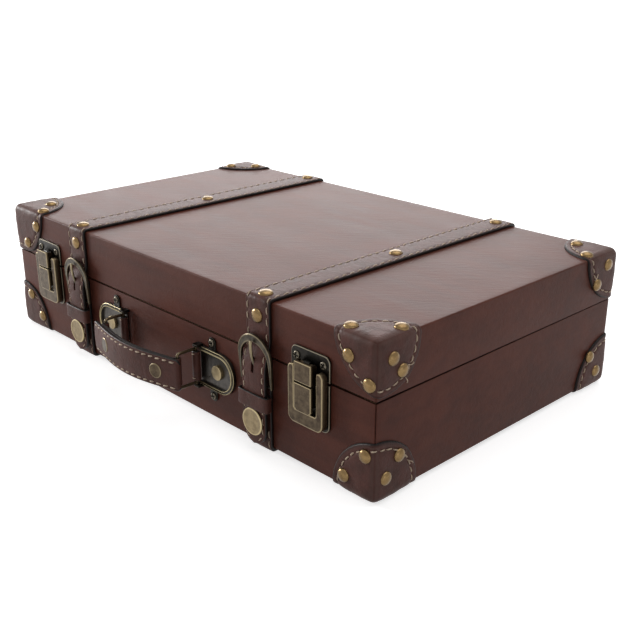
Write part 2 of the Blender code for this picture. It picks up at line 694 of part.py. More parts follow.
# Latches.
def latch(side, x):
    half = LATCH_PLATE_WIDTH / 2
    back = front_prism("latch_plate_" + side,
                       rounded(x - half, x + half, LATCH_PLATE_LOW, BASE_HEIGHT - GAP, LATCH_PLATE_ROUND, 0),
                       GAP, GAP + LATCH_PLATE_THICK)
    finish(back, "dark_brass", case)

    wide = HOUSING_WIDTH / 2
    inside = CHANNEL_WIDTH / 2
    channel_low = SLIDER_LOW + SLIDER_BOSS_INSET - SLIDER_TRAVEL - GAP
    housing = front_prism("latch_housing_" + side,
                          rounded(x - wide, x + wide, HOUSING_LOW, HOUSING_TOP, HOUSING_ROUND, ARM_ROUND),
                          HOUSING_OUT, HOUSING_OUT + HOUSING_THICK)
    low = front_prism("low", rounded(x - inside, x + inside, channel_low, BASE_HEIGHT, 0, 0),
                      HOUSING_OUT + CHANNEL_FLOOR, HOUSING_OUT + HOUSING_THICK + OVERRUN)
    mouth = rounded(x - inside, x + inside, BASE_HEIGHT - SEAM, HOUSING_TOP + OVERRUN, 0, 0)
    high = front_prism("high", mouth, HOUSING_OUT - OVERRUN, HOUSING_OUT + HOUSING_THICK + 2 * OVERRUN)
    combine(housing, [low, high], "DIFFERENCE")
    finish(housing, "dark_brass", case)

    travel = pivot("slider_" + side, point(x, TONGUE_OUT, SLIDER_LOW), case)
    wide = TONGUE_WIDTH / 2
    cut = SLIDER_CHAMFER
    outline = [(x - wide + cut, SLIDER_LOW), (x + wide - cut, SLIDER_LOW), (x + wide, SLIDER_LOW + cut),
               (x + wide, TONGUE_SPLIT), (x - wide, TONGUE_SPLIT), (x - wide, SLIDER_LOW + cut)]
    button = front_prism("latch_slider_" + side, outline, TONGUE_OUT, TONGUE_OUT + TONGUE_THICK)
    boss_half = SLIDER_BOSS_WIDTH / 2
    boss = front_prism("boss", rounded(x - boss_half, x + boss_half, SLIDER_LOW + SLIDER_BOSS_INSET,
                                       TONGUE_SPLIT - GAP, 0, 0),
                       HOUSING_OUT + CHANNEL_FLOOR + GAP, TONGUE_OUT + TONGUE_THICK / 2)
    combine(button, [boss])
    finish(button, "dark_brass", travel, point(x, TONGUE_OUT, SLIDER_LOW))

    plate_low = BASE_HEIGHT + SEAM + GAP
    plate = front_prism("lid_latch_plate_" + side,
                        rounded(x - half, x + half, plate_low, LATCH_PLATE_TOP, 0, LATCH_PLATE_ROUND),
                        GAP, GAP + LATCH_PLATE_THICK)
    lug_outline = [(GAP + LATCH_PLATE_THICK / 2, HASP_PIVOT_UP - HASP_LUG_RADIUS)]
    for k in range(2 * ARC_STEPS + 1):
        turn = math.pi * k / (2 * ARC_STEPS) - math.pi / 2
        lug_outline.append((HASP_PIVOT_OUT + HASP_LUG_RADIUS * math.cos(turn),
                            HASP_PIVOT_UP + HASP_LUG_RADIUS * math.sin(turn)))
    lug_outline.append((GAP + LATCH_PLATE_THICK / 2, HASP_PIVOT_UP + HASP_LUG_RADIUS))
    lug_half = HASP_LUG_WIDTH / 2
    lug = side_prism("lug", lug_outline, x - lug_half, x + lug_half)
    combine(lug, [rod("bore", point(x - lug_half - OVERRUN, HASP_PIVOT_OUT, HASP_PIVOT_UP),
                      point(x + lug_half + OVERRUN, HASP_PIVOT_OUT, HASP_PIVOT_UP),
                      HASP_PIN_RADIUS + GAP, WIRE_SIDES)], "DIFFERENCE")
    screws = [dome("screw", point(x + s * LATCH_SCREW_OFFSET, GAP + LATCH_PLATE_THICK, LATCH_SCREW_UP),
                   (0, -1, 0), SCREW_RADIUS, SCREW_HEIGHT) for s in (-1, 1)]
    combine(plate, [lug, *screws])
    finish(plate, "dark_brass", lid)

    axis = point(x, HASP_PIVOT_OUT, HASP_PIVOT_UP)
    swing = pivot("hasp_" + side, axis, lid)
    low_end = TONGUE_SPLIT + GAP
    high_end = HASP_PIVOT_UP + HASP_TOP_RISE
    hasp = front_prism("latch_hasp_" + side, rounded(x - wide, x + wide, low_end, high_end, 0, 0),
                       TONGUE_OUT, TONGUE_OUT + TONGUE_THICK)
    rear = HOUSING_OUT + CHANNEL_FLOOR + GAP
    cheek = [(rear, low_end), (rear, HASP_PIVOT_UP), (HASP_PIVOT_OUT, high_end),
             (TONGUE_OUT + TONGUE_THICK / 2, high_end), (TONGUE_OUT + TONGUE_THICK / 2, low_end)]
    walls = [side_prism("cheek", cheek, x - wide, x - wide + HASP_WALL),
             side_prism("cheek", cheek, x + wide - HASP_WALL, x + wide)]
    pin = rod("pin", point(x - wide + HASP_WALL / 2, HASP_PIVOT_OUT, HASP_PIVOT_UP),
              point(x + wide - HASP_WALL / 2, HASP_PIVOT_OUT, HASP_PIVOT_UP), HASP_PIN_RADIUS, WIRE_SIDES)
    combine(hasp, [*walls, pin])
    finish(hasp, "dark_brass", swing, axis)


for label, x in (("left", -LATCH_OFFSET), ("right", LATCH_OFFSET)):
    latch(label, x)


# Handle.
def handle_plate(side, sign):
    def mirrored(outline):
        return [(sign * x, up) for x, up in outline]

    def dish(radius):
        turns = [math.pi * k / ROUND_SEGMENTS for k in range(ROUND_SEGMENTS + 1)]
        arc = [(PLATE_CENTRE + radius * math.sin(t), HANDLE_UP + radius * math.cos(t)) for t in turns]
        return [(PLATE_INNER, HANDLE_UP + radius), *arc, (PLATE_INNER, HANDLE_UP - radius)]

    plate = front_prism("handle_plate_" + side, mirrored(dish(PLATE_RADIUS)), GAP, GAP + PLATE_THICK)
    rim_outline = dish(PLATE_RADIUS - GAP / 3) + list(reversed(dish(PLATE_RADIUS - PLATE_RIM_WIDTH)))
    parts = [front_prism("rim", mirrored(rim_outline), GAP + PLATE_THICK / 2, PLATE_RIM_OUT)]
    tab_x = PLATE_TAB_OFFSET
    reach = PLATE_TAB_UP + PLATE_TAB_RADIUS
    turn = PLATE_TAB_RADIUS - GAP
    tab = rounded(tab_x - PLATE_TAB_RADIUS, tab_x + PLATE_TAB_RADIUS, HANDLE_UP - reach, HANDLE_UP + reach,
                  turn, turn)
    parts.append(front_prism("tab", mirrored(tab), GAP + PLATE_THICK / 4, GAP + PLATE_THICK * 3 / 4))
    for way in (-1, 1):
        low = RING_HALF_HEIGHT + WIRE_RADIUS + GAP
        high = low + LUG_THICK
        ends = sorted((HANDLE_UP + way * low, HANDLE_UP + way * high))
        across = sorted((sign * (RING_OFFSET - LUG_HALF_WIDTH), sign * (PLATE_INNER + PLATE_RIM_WIDTH)))
        lug = front_prism("lug", rounded(across[0], across[1], ends[0], ends[1], 0, 0),
                          GAP + PLATE_THICK / 3, RING_OUT + LUG_HALF_WIDTH)
        bore = rod("bore", point(sign * RING_OFFSET, RING_OUT, ends[0] - OVERRUN),
                   point(sign * RING_OFFSET, RING_OUT, ends[1] + OVERRUN), WIRE_RADIUS + GAP, WIRE_SIDES)
        combine(lug, [bore], "DIFFERENCE")
        parts.append(lug)
        seat = point(sign * tab_x, GAP + PLATE_THICK * 3 / 4, HANDLE_UP + way * PLATE_TAB_UP)
        parts.append(dome("screw", seat, (0, -1, 0), SCREW_RADIUS, SCREW_HEIGHT))
    parts.append(rod("rivet", point(sign * PLATE_RIVET_OFFSET, GAP + PLATE_THICK / 2, HANDLE_UP),
                     point(sign * PLATE_RIVET_OFFSET, PLATE_RIVET_OUT, HANDLE_UP), PLATE_RIVET_RADIUS))
    combine(plate, parts)
    finish(plate, "dark_brass", case)


def ring(side, sign, home):
    near_x = far_x = sign * RING_OFFSET
    tip = RING_HALF_HEIGHT + WIRE_RADIUS + LUG_THICK
    near = rod("handle_ring_" + side, point(near_x, RING_OUT, HANDLE_UP - tip),
               point(near_x, RING_OUT, HANDLE_UP + tip), WIRE_RADIUS, WIRE_SIDES)
    path = [point(near_x, RING_OUT, HANDLE_UP + RING_HALF_HEIGHT),
            point(far_x, GRIP_BAR_OUT, HANDLE_UP + RING_HALF_HEIGHT),
            point(far_x, GRIP_BAR_OUT, HANDLE_UP - RING_HALF_HEIGHT),
            point(near_x, RING_OUT, HANDLE_UP - RING_HALF_HEIGHT)]
    combine(near, [tube("loop", path, WIRE_RADIUS * 0.98, WIRE_SIDES)])
    axis = point(near_x, RING_OUT, HANDLE_UP)
    finish(near, "dark_brass", home, axis, smooth=True)

    low, high = HANDLE_UP - TAB_HALF_HEIGHT, HANDLE_UP + TAB_HALF_HEIGHT
    leather = rod("handle_tab_" + side, point(near_x, RING_OUT, low), point(near_x, RING_OUT, high),
                  TAB_RADIUS)
    bore = rod("bore", point(near_x, RING_OUT, low - OVERRUN), point(near_x, RING_OUT, high + OVERRUN),
               WIRE_RADIUS + GAP, WIRE_SIDES)
    combine(leather, [bore], "DIFFERENCE")
    finish(leather, "leather", home, axis, smooth=True)


def grip_bulge(x):
    """How far the grip arches out at x, nothing at its flat ends."""
    share = min(abs(x) / GRIP_FLAT_FROM, 1.0)
    return GRIP_BULGE * math.cos(math.pi / 2 * share) ** 1.3


def grip_layer(name, half, back, thick, height):
    rows = []
    for k in range(GRIP_STEPS + 1):
        x = half * (2 * k / GRIP_STEPS - 1)
        out = back + grip_bulge(x)
        tall = height + GRIP_SWELL * grip_bulge(x) / GRIP_BULGE
        rows.append([point(x, out, HANDLE_UP - tall), point(x, out, HANDLE_UP + tall),
                     point(x, out + thick, HANDLE_UP + tall), point(x, out + thick, HANDLE_UP - tall)])
    return loft(name, rows)


def grip(home, axis):
    outer_back = GRIP_END_OUT - GRIP_LAYER
    outer = grip_layer("grip_outer", GRIP_HALF_LENGTH, outer_back, GRIP_LAYER, GRIP_HALF_HEIGHT)
    rivets = []
    for x in (-GRIP_RIVET_OFFSET, GRIP_RIVET_OFFSET):
        slope = (grip_bulge(x + GAP) - grip_bulge(x - GAP)) / (2 * GAP)
        normal = Vector((-slope, -1, 0)).normalized()
        spot = point(x, GRIP_END_OUT + grip_bulge(x), HANDLE_UP)
        rivets.append(rod("rivet", spot - normal * GRIP_LAYER / 2, spot + normal * GRIP_RIVET_HEIGHT,
                          GRIP_RIVET_RADIUS))
    combine(outer, rivets)
    finish(outer, "leather", home, axis)
    inner_back = outer_back - GRIP_LAYER_SPACE - GRIP_INNER_LAYER
    inner = grip_layer("grip_inner", RING_OFFSET, inner_back, GRIP_INNER_LAYER, GRIP_HALF_HEIGHT)
    low, high = HANDLE_UP - GRIP_HALF_HEIGHT + GAP, HANDLE_UP + GRIP_HALF_HEIGHT - GAP
    ends = (-RING_OFFSET, RING_OFFSET)
    combine(inner, [rod("loop", point(x, GRIP_BAR_OUT, low), point(x, GRIP_BAR_OUT, high), GRIP_LOOP_RADIUS)
                    for x in ends])
    combine(inner, [rod("bore", point(x, GRIP_BAR_OUT, low - OVERRUN), point(x, GRIP_BAR_OUT, high + OVERRUN),
                        WIRE_RADIUS + GAP, WIRE_SIDES) for x in ends], "DIFFERENCE")
    finish(inner, "leather", home, axis)


ring_pivots = {}
for label, sign in (("left", -1), ("right", 1)):
    handle_plate(label, sign)
    ring_pivots[label] = pivot("ring_" + label, point(sign * RING_OFFSET, RING_OUT, HANDLE_UP), case)
    ring(label, sign, ring_pivots[label])
grip_axis = point(RING_OFFSET, GRIP_BAR_OUT, HANDLE_UP)
grip(pivot("grip", grip_axis, ring_pivots["right"]), grip_axis)


# Hinges.
def hinge(side, x):
    """A butt hinge on the back: leaves outside, barrel level with the seam."""
    leaf = (BACK_Y + GAP, BACK_Y + GAP + HINGE_LEAF_THICK)
    clear = HINGE_RADIUS + GAP
    half = HINGE_HALF_WIDTH
    inner = HINGE_KNUCKLE_HALF
    screw_up = (HINGE_LEAF_HEIGHT + clear + HINGE_LEAF_THICK) / 2
    lower = box("hinge_lower_" + side, (x - half, leaf[0], HINGE_Z - HINGE_LEAF_HEIGHT),
                (x + half, leaf[1], HINGE_Z - clear))
    parts = []
    for a, b in ((-half, -inner - GAP), (inner + GAP, half)):
        parts.append(box("neck", (x + a, leaf[0], HINGE_Z - clear - HINGE_LEAF_THICK),
                         (x + b, leaf[1], HINGE_Z)))
        parts.append(rod("knuckle", (x + a, HINGE_Y, HINGE_Z), (x + b, HINGE_Y, HINGE_Z), HINGE_RADIUS))
    parts.append(rod("pin", (x - half + GAP, HINGE_Y, HINGE_Z), (x + half - GAP, HINGE_Y, HINGE_Z),
                     HINGE_PIN_RADIUS, WIRE_SIDES))
    for way in (-1, 1):
        spot = Vector((x + way * (half - HINGE_SCREW_INSET), leaf[1], HINGE_Z - screw_up))
        parts.append(dome("screw", spot, (0, 1, 0), SCREW_RADIUS, SCREW_HEIGHT))
    combine(lower, parts)
    finish(lower, "dark_brass", case)

    upper = box("hinge_upper_" + side, (x - half, leaf[0], HINGE_Z + clear),
                (x + half, leaf[1], HINGE_Z + HINGE_LEAF_HEIGHT))
    neck = box("neck", (x - inner, leaf[0], HINGE_Z),
               (x + inner, leaf[1], HINGE_Z + clear + HINGE_LEAF_THICK))
    knuckle = rod("knuckle", (x - inner, HINGE_Y, HINGE_Z), (x + inner, HINGE_Y, HINGE_Z), HINGE_RADIUS)
    bore = rod("bore", (x - half, HINGE_Y, HINGE_Z), (x + half, HINGE_Y, HINGE_Z), HINGE_PIN_RADIUS + GAP,
               WIRE_SIDES)
    screws = []
    for way in (-1, 1):
        spot = Vector((x + way * (half - HINGE_SCREW_INSET), leaf[1], HINGE_Z + screw_up))
        screws.append(dome("screw", spot, (0, 1, 0), SCREW_RADIUS, SCREW_HEIGHT))
    combine(upper, [neck, knuckle, *screws])
    combine(upper, [bore], "DIFFERENCE")
    finish(upper, "dark_brass", lid)


for label, x in (("left", -HINGE_OFFSET), ("right", HINGE_OFFSET)):
    hinge(label, x)
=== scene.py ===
"""A small suitcase box in brown leatherette, with leather corners, buckled belts,
tongue latches and a swinging handle, set up as in a studio photograph."""
import math
import bmesh
import bpy
import numpy as np
from mathutils import Matrix, Vector


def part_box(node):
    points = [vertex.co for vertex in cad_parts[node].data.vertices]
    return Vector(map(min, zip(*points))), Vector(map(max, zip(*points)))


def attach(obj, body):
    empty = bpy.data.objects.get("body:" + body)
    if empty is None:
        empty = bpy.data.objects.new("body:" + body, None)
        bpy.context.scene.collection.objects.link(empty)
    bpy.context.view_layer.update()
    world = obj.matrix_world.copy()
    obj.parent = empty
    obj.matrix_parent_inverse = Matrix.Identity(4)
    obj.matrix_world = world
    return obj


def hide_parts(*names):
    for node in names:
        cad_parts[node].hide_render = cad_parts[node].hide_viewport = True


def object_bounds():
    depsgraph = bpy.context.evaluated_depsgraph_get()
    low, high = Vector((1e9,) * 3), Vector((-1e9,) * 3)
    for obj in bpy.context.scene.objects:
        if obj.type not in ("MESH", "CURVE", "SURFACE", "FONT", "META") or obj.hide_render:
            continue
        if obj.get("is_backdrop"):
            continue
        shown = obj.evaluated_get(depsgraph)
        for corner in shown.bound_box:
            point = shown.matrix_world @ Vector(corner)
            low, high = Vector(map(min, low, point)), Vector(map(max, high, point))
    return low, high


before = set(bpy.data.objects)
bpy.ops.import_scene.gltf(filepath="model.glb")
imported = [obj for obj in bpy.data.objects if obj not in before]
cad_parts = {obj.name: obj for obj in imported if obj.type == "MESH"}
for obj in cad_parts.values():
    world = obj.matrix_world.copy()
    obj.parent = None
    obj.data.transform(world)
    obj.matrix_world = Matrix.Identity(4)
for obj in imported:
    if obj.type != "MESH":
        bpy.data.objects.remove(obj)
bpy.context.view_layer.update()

# The camera. The photograph looks down on the front right corner through a
# medium lens. Its place was fitted to the case's three known sizes.
base_low, base_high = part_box("base_cover")
CAMERA_PLACE = (0.72969, -0.35199, 0.29921)  # from the base's low front left corner
FOCAL_PIXELS, PHOTO_PIXELS = 943.46, 640
SENSOR_WIDTH = 36
turn, tilt, roll = math.radians(45.963), math.radians(21.366), math.radians(0.138)
backward = Vector((math.sin(turn) * math.cos(tilt), -math.cos(turn) * math.cos(tilt), math.sin(tilt)))
level = Vector((math.cos(turn), math.sin(turn), 0))
upright = backward.cross(level)
rightward = level * math.cos(roll) + upright * math.sin(roll)
upward = upright * math.cos(roll) - level * math.sin(roll)
camera = bpy.data.objects.new("camera", bpy.data.cameras.new("camera"))
bpy.context.collection.objects.link(camera)
camera.data.sensor_width = SENSOR_WIDTH
camera.data.lens = SENSOR_WIDTH * FOCAL_PIXELS / PHOTO_PIXELS
camera.data.clip_end = 50
camera.matrix_world = Matrix.Translation(base_low + Vector(CAMERA_PLACE)) \
    @ Matrix((rightward, upward, backward)).transposed().to_4x4()
bpy.context.scene.camera = camera


# The light. A plain studio: a white paper sweep, a key from the left that leaves
# dark shade right of each strap, and a broad soft box behind that hazes the lid.
def linear(code):
    """An sRGB hex colour as linear red, green, blue and alpha."""
    parts = [int(code[i:i + 2], 16) / 255 for i in (1, 3, 5)]
    return (*[c / 12.92 if c <= 0.04045 else ((c + 0.055) / 1.055) ** 2.4 for c in parts], 1.0)


def feed(made, inputs):
    """Sets or links a node's inputs. A node given for one stands for its first output,
    or for its colour where it mixes two."""
    for key, value in inputs.items():
        if isinstance(value, bpy.types.Node):
            value = value.outputs[2 if value.bl_idname == "ShaderNodeMix" else 0]
        if isinstance(value, bpy.types.NodeSocket):
            made.id_data.links.new(value, made.inputs[key])
        else:
            made.inputs[key].default_value = value


def node(tree, kind, inputs, **settings):
    """Adds a node with its settings, and sets or links its inputs."""
    made = tree.nodes.new("ShaderNode" + kind)
    for key, value in settings.items():
        setattr(made, key, value)
    feed(made, inputs)
    return made


def sees_white(tree):
    """One for camera, glossy and transmission rays, which see the white room as it
    looks, and nothing for the rays that would carry its light to the object."""
    rays = node(tree, "LightPath", {}).outputs
    seen = node(tree, "Math", {0: rays["Is Camera Ray"], 1: rays["Is Glossy Ray"]}, operation="ADD")
    return node(tree, "Math", {0: seen, 1: rays["Is Transmission Ray"]}, operation="ADD", use_clamp=True)


# The room looks white, and gives the object a tenth of that as light from all round.
world = bpy.data.worlds.new("studio")
bpy.context.scene.world = world
world.use_nodes = True
tree = world.node_tree
strength = node(tree, "Math", {0: sees_white(tree), 1: 0.9, 2: 0.1}, operation="MULTIPLY_ADD")
feed(tree.nodes["Background"], {"Color": linear("#ffffff"), "Strength": strength})
bpy.context.scene.view_settings.view_transform = "Standard"

# Each lamp's name, place, width and height in metres, and watts.
for name, spot, size, power in (
    ("overhead", (0.1, 0.35, 1.5), (1.6, 1.6), 15),
    ("rear", (-1.9, 1.7, 1.0), (2.2, 1.3), 33),
    ("key", (-2.6, -0.95, 0.6), (0.7, 0.6), 57),
    ("fill", (2.2, -0.6, 0.5), (1.4, 0.8), 3),
):
    lamp = bpy.data.objects.new(name, bpy.data.lights.new(name, "AREA"))
    lamp.data.shape = "RECTANGLE"
    lamp.data.size, lamp.data.size_y = size
    lamp.data.energy = power
    lamp.location = spot
    lamp.rotation_euler = (Vector((0, 0, 0.05)) - Vector(spot)).to_track_quat("-Z", "Y").to_euler()
    bpy.context.collection.objects.link(lamp)

# The floor is white paper. Its glow fills the lamps' light up to white, a little
# more of it far out where they are weaker, and it keeps the object's shadow.
floor_mesh = bpy.data.meshes.new("floor")
floor_mesh.from_pydata([(-20, -20, 0), (20, -20, 0), (20, 20, 0), (-20, 20, 0)], [], [(0, 1, 2, 3)])
floor = bpy.data.objects.new("floor", floor_mesh)
bpy.context.collection.objects.link(floor)
floor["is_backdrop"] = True
paper = bpy.data.materials.new("white paper sweep")
paper.use_nodes = True
tree = paper.node_tree
shader = tree.nodes["Principled BSDF"]
feed(shader, {"Base Color": linear("#e1e1e1"), "Roughness": 0.9})
place_of = node(tree, "TexCoord", {}).outputs["Object"]
spread = node(tree, "VectorMath", {0: place_of}, operation="LENGTH").outputs["Value"]
missing = node(tree, "MapRange", {"Value": spread, "From Min": 0.25, "From Max": 0.6,
                                  "To Min": 0.7, "To Max": 0.95})
seen = node(tree, "Math", {0: sees_white(tree), 1: missing}, operation="MULTIPLY")
glow = node(tree, "Emission", {"Strength": seen})
feed(tree.nodes["Material Output"], {"Surface": node(tree, "AddShader", {0: shader, 1: glow})})
floor_mesh.materials.append(paper)


# The covers. Brown coated cloth, leatherette, glued over the boards and turned
# in over their rims, so the seam shows cloth and every edge is a little round.
def grid_faces(rows, columns, wrap=True, tube=False):
    """Quads between neighbours on a grid, on round to the first column where it
    wraps, and on round to the first row where it is a tube."""
    row, column = np.meshgrid(np.arange(rows - (not tube)), np.arange(columns - (not wrap)), indexing="ij")
    below, beside = (row + 1) % rows, (column + 1) % columns
    quads = np.stack([row * columns + column, row * columns + beside,
                      below * columns + beside, below * columns + column], -1)
    return quads.reshape(-1, 4).tolist()


def capped(rows, columns):
    """The faces of a grid that wraps, with its first and last rows closed."""
    last = (rows - 1) * columns
    return grid_faces(rows, columns) + [list(range(columns)), list(range(last, last + columns))]


def face_outwards(mesh):
    """Turns the faces of closed shells outwards."""
    edit = bmesh.new()
    edit.from_mesh(mesh)
    bmesh.ops.recalc_face_normals(edit, faces=edit.faces)
    edit.to_mesh(mesh)
    edit.free()


def piece(name, body, points, faces, finishes, slot, kinds=None, wear_and_painted_light=None, hides=(), crease=40):
    """Closed shells as an object that rides on a body of the frame. The kinds are its
    faces' numbers in the finishes, and a mark at each point lightens or darkens it:
    rubbed, or lit as a painted highlight, above nothing; darkened with ink or as
    painted shade below. It hides the nodes that it stands for."""
    mesh = bpy.data.meshes.new(name)
    mesh.from_pydata(np.asarray(points, float).reshape(-1, 3).tolist(), [], faces)
    for finish in finishes:
        mesh.materials.append(finish)
    if kinds is not None:
        mesh.polygons.foreach_set("material_index", np.asarray(kinds, np.int32).ravel())
    wear_light_or_shade = np.zeros(len(mesh.vertices)) if wear_and_painted_light is None else np.asarray(wear_and_painted_light, float).ravel()
    mesh.attributes.new("wear_and_painted_light", "FLOAT", "POINT").data.foreach_set("value", wear_light_or_shade)
    face_outwards(mesh)
    mesh.shade_smooth()
    mesh.set_sharp_from_angle(angle=math.radians(crease))
    made = bpy.data.objects.new(name, mesh)
    bpy.context.collection.objects.link(made)
    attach(made, body)
    if hides:
        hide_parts(*hides)
    return made


def finish(name, roughness, metallic=0.0, **sockets):
    """A new material, with its tree, its shader and its Object coordinates."""
    made = bpy.data.materials.new(name)
    made.use_nodes = True
    shader = made.node_tree.nodes["Principled BSDF"]
    feed(shader, {"Roughness": roughness, "Metallic": metallic})
    feed(shader, {key.replace("_", " "): value for key, value in sockets.items()})
    return made, made.node_tree, shader, node(made.node_tree, "TexCoord", {}).outputs["Object"]


# Leatherette: cloth coated with brown polyurethane and rolled with a 0.9 mm grain.
# It is soft satin, cloudy over 45 mm, and drawn in faint streaks of 70 by 17 mm.
# Where its mark is below nothing the cloth is darkened: painted shade on the cloth turned
# into the seam, and a dark line where the cloth meets on one front edge.
leatherette, tree, shader, place_of = finish("coated cloth leatherette", 0.42, Specular_IOR_Level=0.1)
cloud = node(tree, "TexNoise", {"Vector": place_of, "Scale": 22, "Detail": 4})
stretch = node(tree, "Mapping", {"Vector": place_of, "Scale": (14, 60, 110)})
streak = node(tree, "TexNoise", {"Vector": stretch, "Scale": 1, "Detail": 5, "Roughness": 0.6})
blend = node(tree, "Math", {0: cloud, 1: streak}, operation="ADD")
shade = node(tree, "MapRange", {"Value": blend, "From Min": 0.75, "From Max": 1.25})
brown = node(tree, "Mix", {0: shade, 6: linear("#4f2b22"), 7: linear("#61362b")}, data_type="RGBA")
wear_light_or_shade = node(tree, "Attribute", {}, attribute_name="wear_and_painted_light").outputs["Fac"]
# Darkening below nothing: painted shade in the seam, and the dark line where the cloth meets.
seam_shade_and_joint = node(tree, "Math", {0: wear_light_or_shade, 1: -1.0}, operation="MULTIPLY", use_clamp=True)
brown = node(tree, "Mix", {0: seam_shade_and_joint, 6: brown, 7: linear("#1c100d")}, data_type="RGBA")
satin = node(tree, "MapRange", {"Value": streak, "From Min": 0.3, "From Max": 0.7,
                                "To Min": 0.42, "To Max": 0.465})
grain = node(tree, "TexNoise", {"Vector": place_of, "Scale": 1100, "Detail": 2})
turned = node(tree, "Mapping", {"Vector": place_of, "Rotation": (0, 0, -0.8)})
stretch = node(tree, "Mapping", {"Vector": turned, "Scale": (70, 300, 240)})
creases = node(tree, "TexNoise", {"Vector": stretch, "Scale": 1, "Detail": 4, "Distortion": 0.6})
raised = node(tree, "Math", {0: grain, 1: streak}, operation="ADD")
raised = node(tree, "Math", {0: creases, 1: 1.7, 2: raised}, operation="MULTIPLY_ADD")
bump = node(tree, "Bump", {"Height": raised, "Strength": 0.45, "Distance": 0.0002})
feed(shader, {"Base Color": brown, "Roughness": satin, "Normal": bump})

lid_low, lid_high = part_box("lid_cover")
COVER_ROUND = 0.0011
COVER_THICK = 0.0008
TURNED_IN = 0.0068
PAST_BEND = 0.004
JOINT_COLUMN = 31  # the point of a ring on the front right edge
SEAM_OPENING, SEAM_CLOSING = 0.00018, 0.00043


def cover_ring(inset, height, low, high, steps=6):
    """The case's plan moved in by an inset, its corners keeping what is left of their
    radius, with a point past both ends of each, which keeps the walls flat."""
    corner = np.repeat(np.arange(4), steps + 1)
    angle = np.pi / 2 * (corner + np.tile(np.arange(steps + 1) / steps, 4))
    side = np.array([(1, 1), (-1, 1), (-1, -1), (1, -1)])[corner]
    middle = (np.array(low[:2]) + np.array(high[:2])) / 2
    half = (np.array(high[:2]) - np.array(low[:2])) / 2 - COVER_ROUND - max(inset - COVER_ROUND, 0)
    plan = middle + side * half + max(COVER_ROUND - inset, 0) * np.stack([np.cos(angle), np.sin(angle)], -1)
    plan = plan.reshape(4, steps + 1, 2)
    along = PAST_BEND * np.stack([-np.sin(angle), np.cos(angle)], -1).reshape(4, steps + 1, 2)
    plan = np.concatenate([plan[:, :1] - along[:, :1], plan, plan[:, -1:] + along[:, -1:]], 1).reshape(-1, 2)
    return np.column_stack([plan, np.full(len(plan), height)])


def cover(name, body, low, high, flat, rim, jointed, hides):
    """Rings from inside the panel, under and over the turned in rim, then up the
    outside to the panel. The cloth turned in over the rim is darkened as painted
    shade in the seam. Where the cover is jointed, its meeting sinks into one upright
    edge and is dark."""
    way = 1 if flat > rim else -1
    bend = np.linspace(0, np.pi / 2, 7)
    inset = [COVER_THICK, COVER_THICK, TURNED_IN, TURNED_IN, 0.0011, 0.0005, 0.0001, 0,
             *(COVER_ROUND * (1 - np.cos(bend))), COVER_ROUND + PAST_BEND]
    height = [flat - way * COVER_THICK, rim - way * 0.00003, rim - way * 0.00003, rim - way * 0.00015,
              rim - way * 0.00015, rim - way * 0.0001, rim + way * 0.0001, rim + way * 0.0006,
              *(flat - way * COVER_ROUND * (1 - np.sin(bend))), flat]
    rings = np.array([cover_ring(i, h, low, high) for i, h in zip(inset, height)])
    # The seam stands open at the front and closes towards the hinges.
    closing = np.clip((rings[1:8, :, 1] - low.y) / (high.y - low.y), 0, 1) ** 0.5
    rings[1:8, :, 2] += way * (SEAM_OPENING - SEAM_CLOSING * closing)
    wear_and_painted_light = np.zeros(rings.shape[:2])
    # The cloth turned in over the rim lies in the seam and is darkened: painted shade.
    wear_and_painted_light[1:6] = -0.8
    if jointed:
        rings[5:9, JOINT_COLUMN, :2] += (-0.0003, 0.0003)
        wear_and_painted_light[5:9, JOINT_COLUMN] = -1
    piece(name, body, rings, capped(*rings.shape[:2]), [leatherette], "leatherette", wear_and_painted_light=wear_and_painted_light, hides=hides)


cover("base_leatherette", "base", base_low, base_high, base_low.z, base_high.z, True, ["base_cover"])
cover("lid_leatherette", "lid", lid_low, lid_high, lid_high.z, lid_low.z, False, ["lid_cover"])


# The corners. Each is one patch of vegetable tanned leather, wetted and folded
# over three faces, sewn round its edge and nailed down with domed brass tacks.
LEATHER_ROUND = 0.0046
LEATHER_STAND = 0.0018
LIP_ROUND = 0.0013
SEW_INSET = 0.0048
CUBE = {"lid": (lid_low, lid_high), "base": (base_low, base_high)}

# Leather: dark brown cowhide, waxed, cloudy over 11 mm, with 1 mm pores and faint
# creases 3 and 13 mm apart. Its folds are rubbed lighter, with a painted highlight
# along them as well, and its cut edges are burnished almost black, with painted
# shade on the lip where it meets the case.
leather, tree, shader, place_of = finish("waxed cowhide", 0.48, Specular_IOR_Level=0.15)
cloud = node(tree, "TexNoise", {"Vector": place_of, "Scale": 90, "Detail": 5, "Roughness": 0.6})
shade = node(tree, "MapRange", {"Value": cloud, "From Min": 0.3, "From Max": 0.7})
brown = node(tree, "Mix", {0: shade, 6: linear("#40261f"), 7: linear("#5a352e")}, data_type="RGBA")
wear_light_or_shade = node(tree, "Attribute", {}, attribute_name="wear_and_painted_light").outputs["Fac"]
brown = node(tree, "Mix", {0: wear_light_or_shade, 6: brown, 7: linear("#75605a")}, data_type="RGBA")
inked_and_shaded = node(tree, "Math", {0: wear_light_or_shade, 1: -1.0}, operation="MULTIPLY", use_clamp=True)
brown = node(tree, "Mix", {0: inked_and_shaded, 6: brown, 7: linear("#17100e")}, data_type="RGBA")
pores = node(tree, "TexVoronoi", {"Vector": place_of, "Scale": 900})
creases = node(tree, "TexNoise", {"Vector": place_of, "Scale": 300, "Detail": 4})
folds = node(tree, "TexNoise", {"Vector": place_of, "Scale": 75, "Detail": 3, "Distortion": 1.5})
raised = node(tree, "Math", {0: pores, 1: creases}, operation="ADD")
raised = node(tree, "Math", {0: folds, 1: 5.0, 2: raised}, operation="MULTIPLY_ADD")
bump = node(tree, "Bump", {"Height": raised, "Strength": 0.5, "Distance": 0.0002})
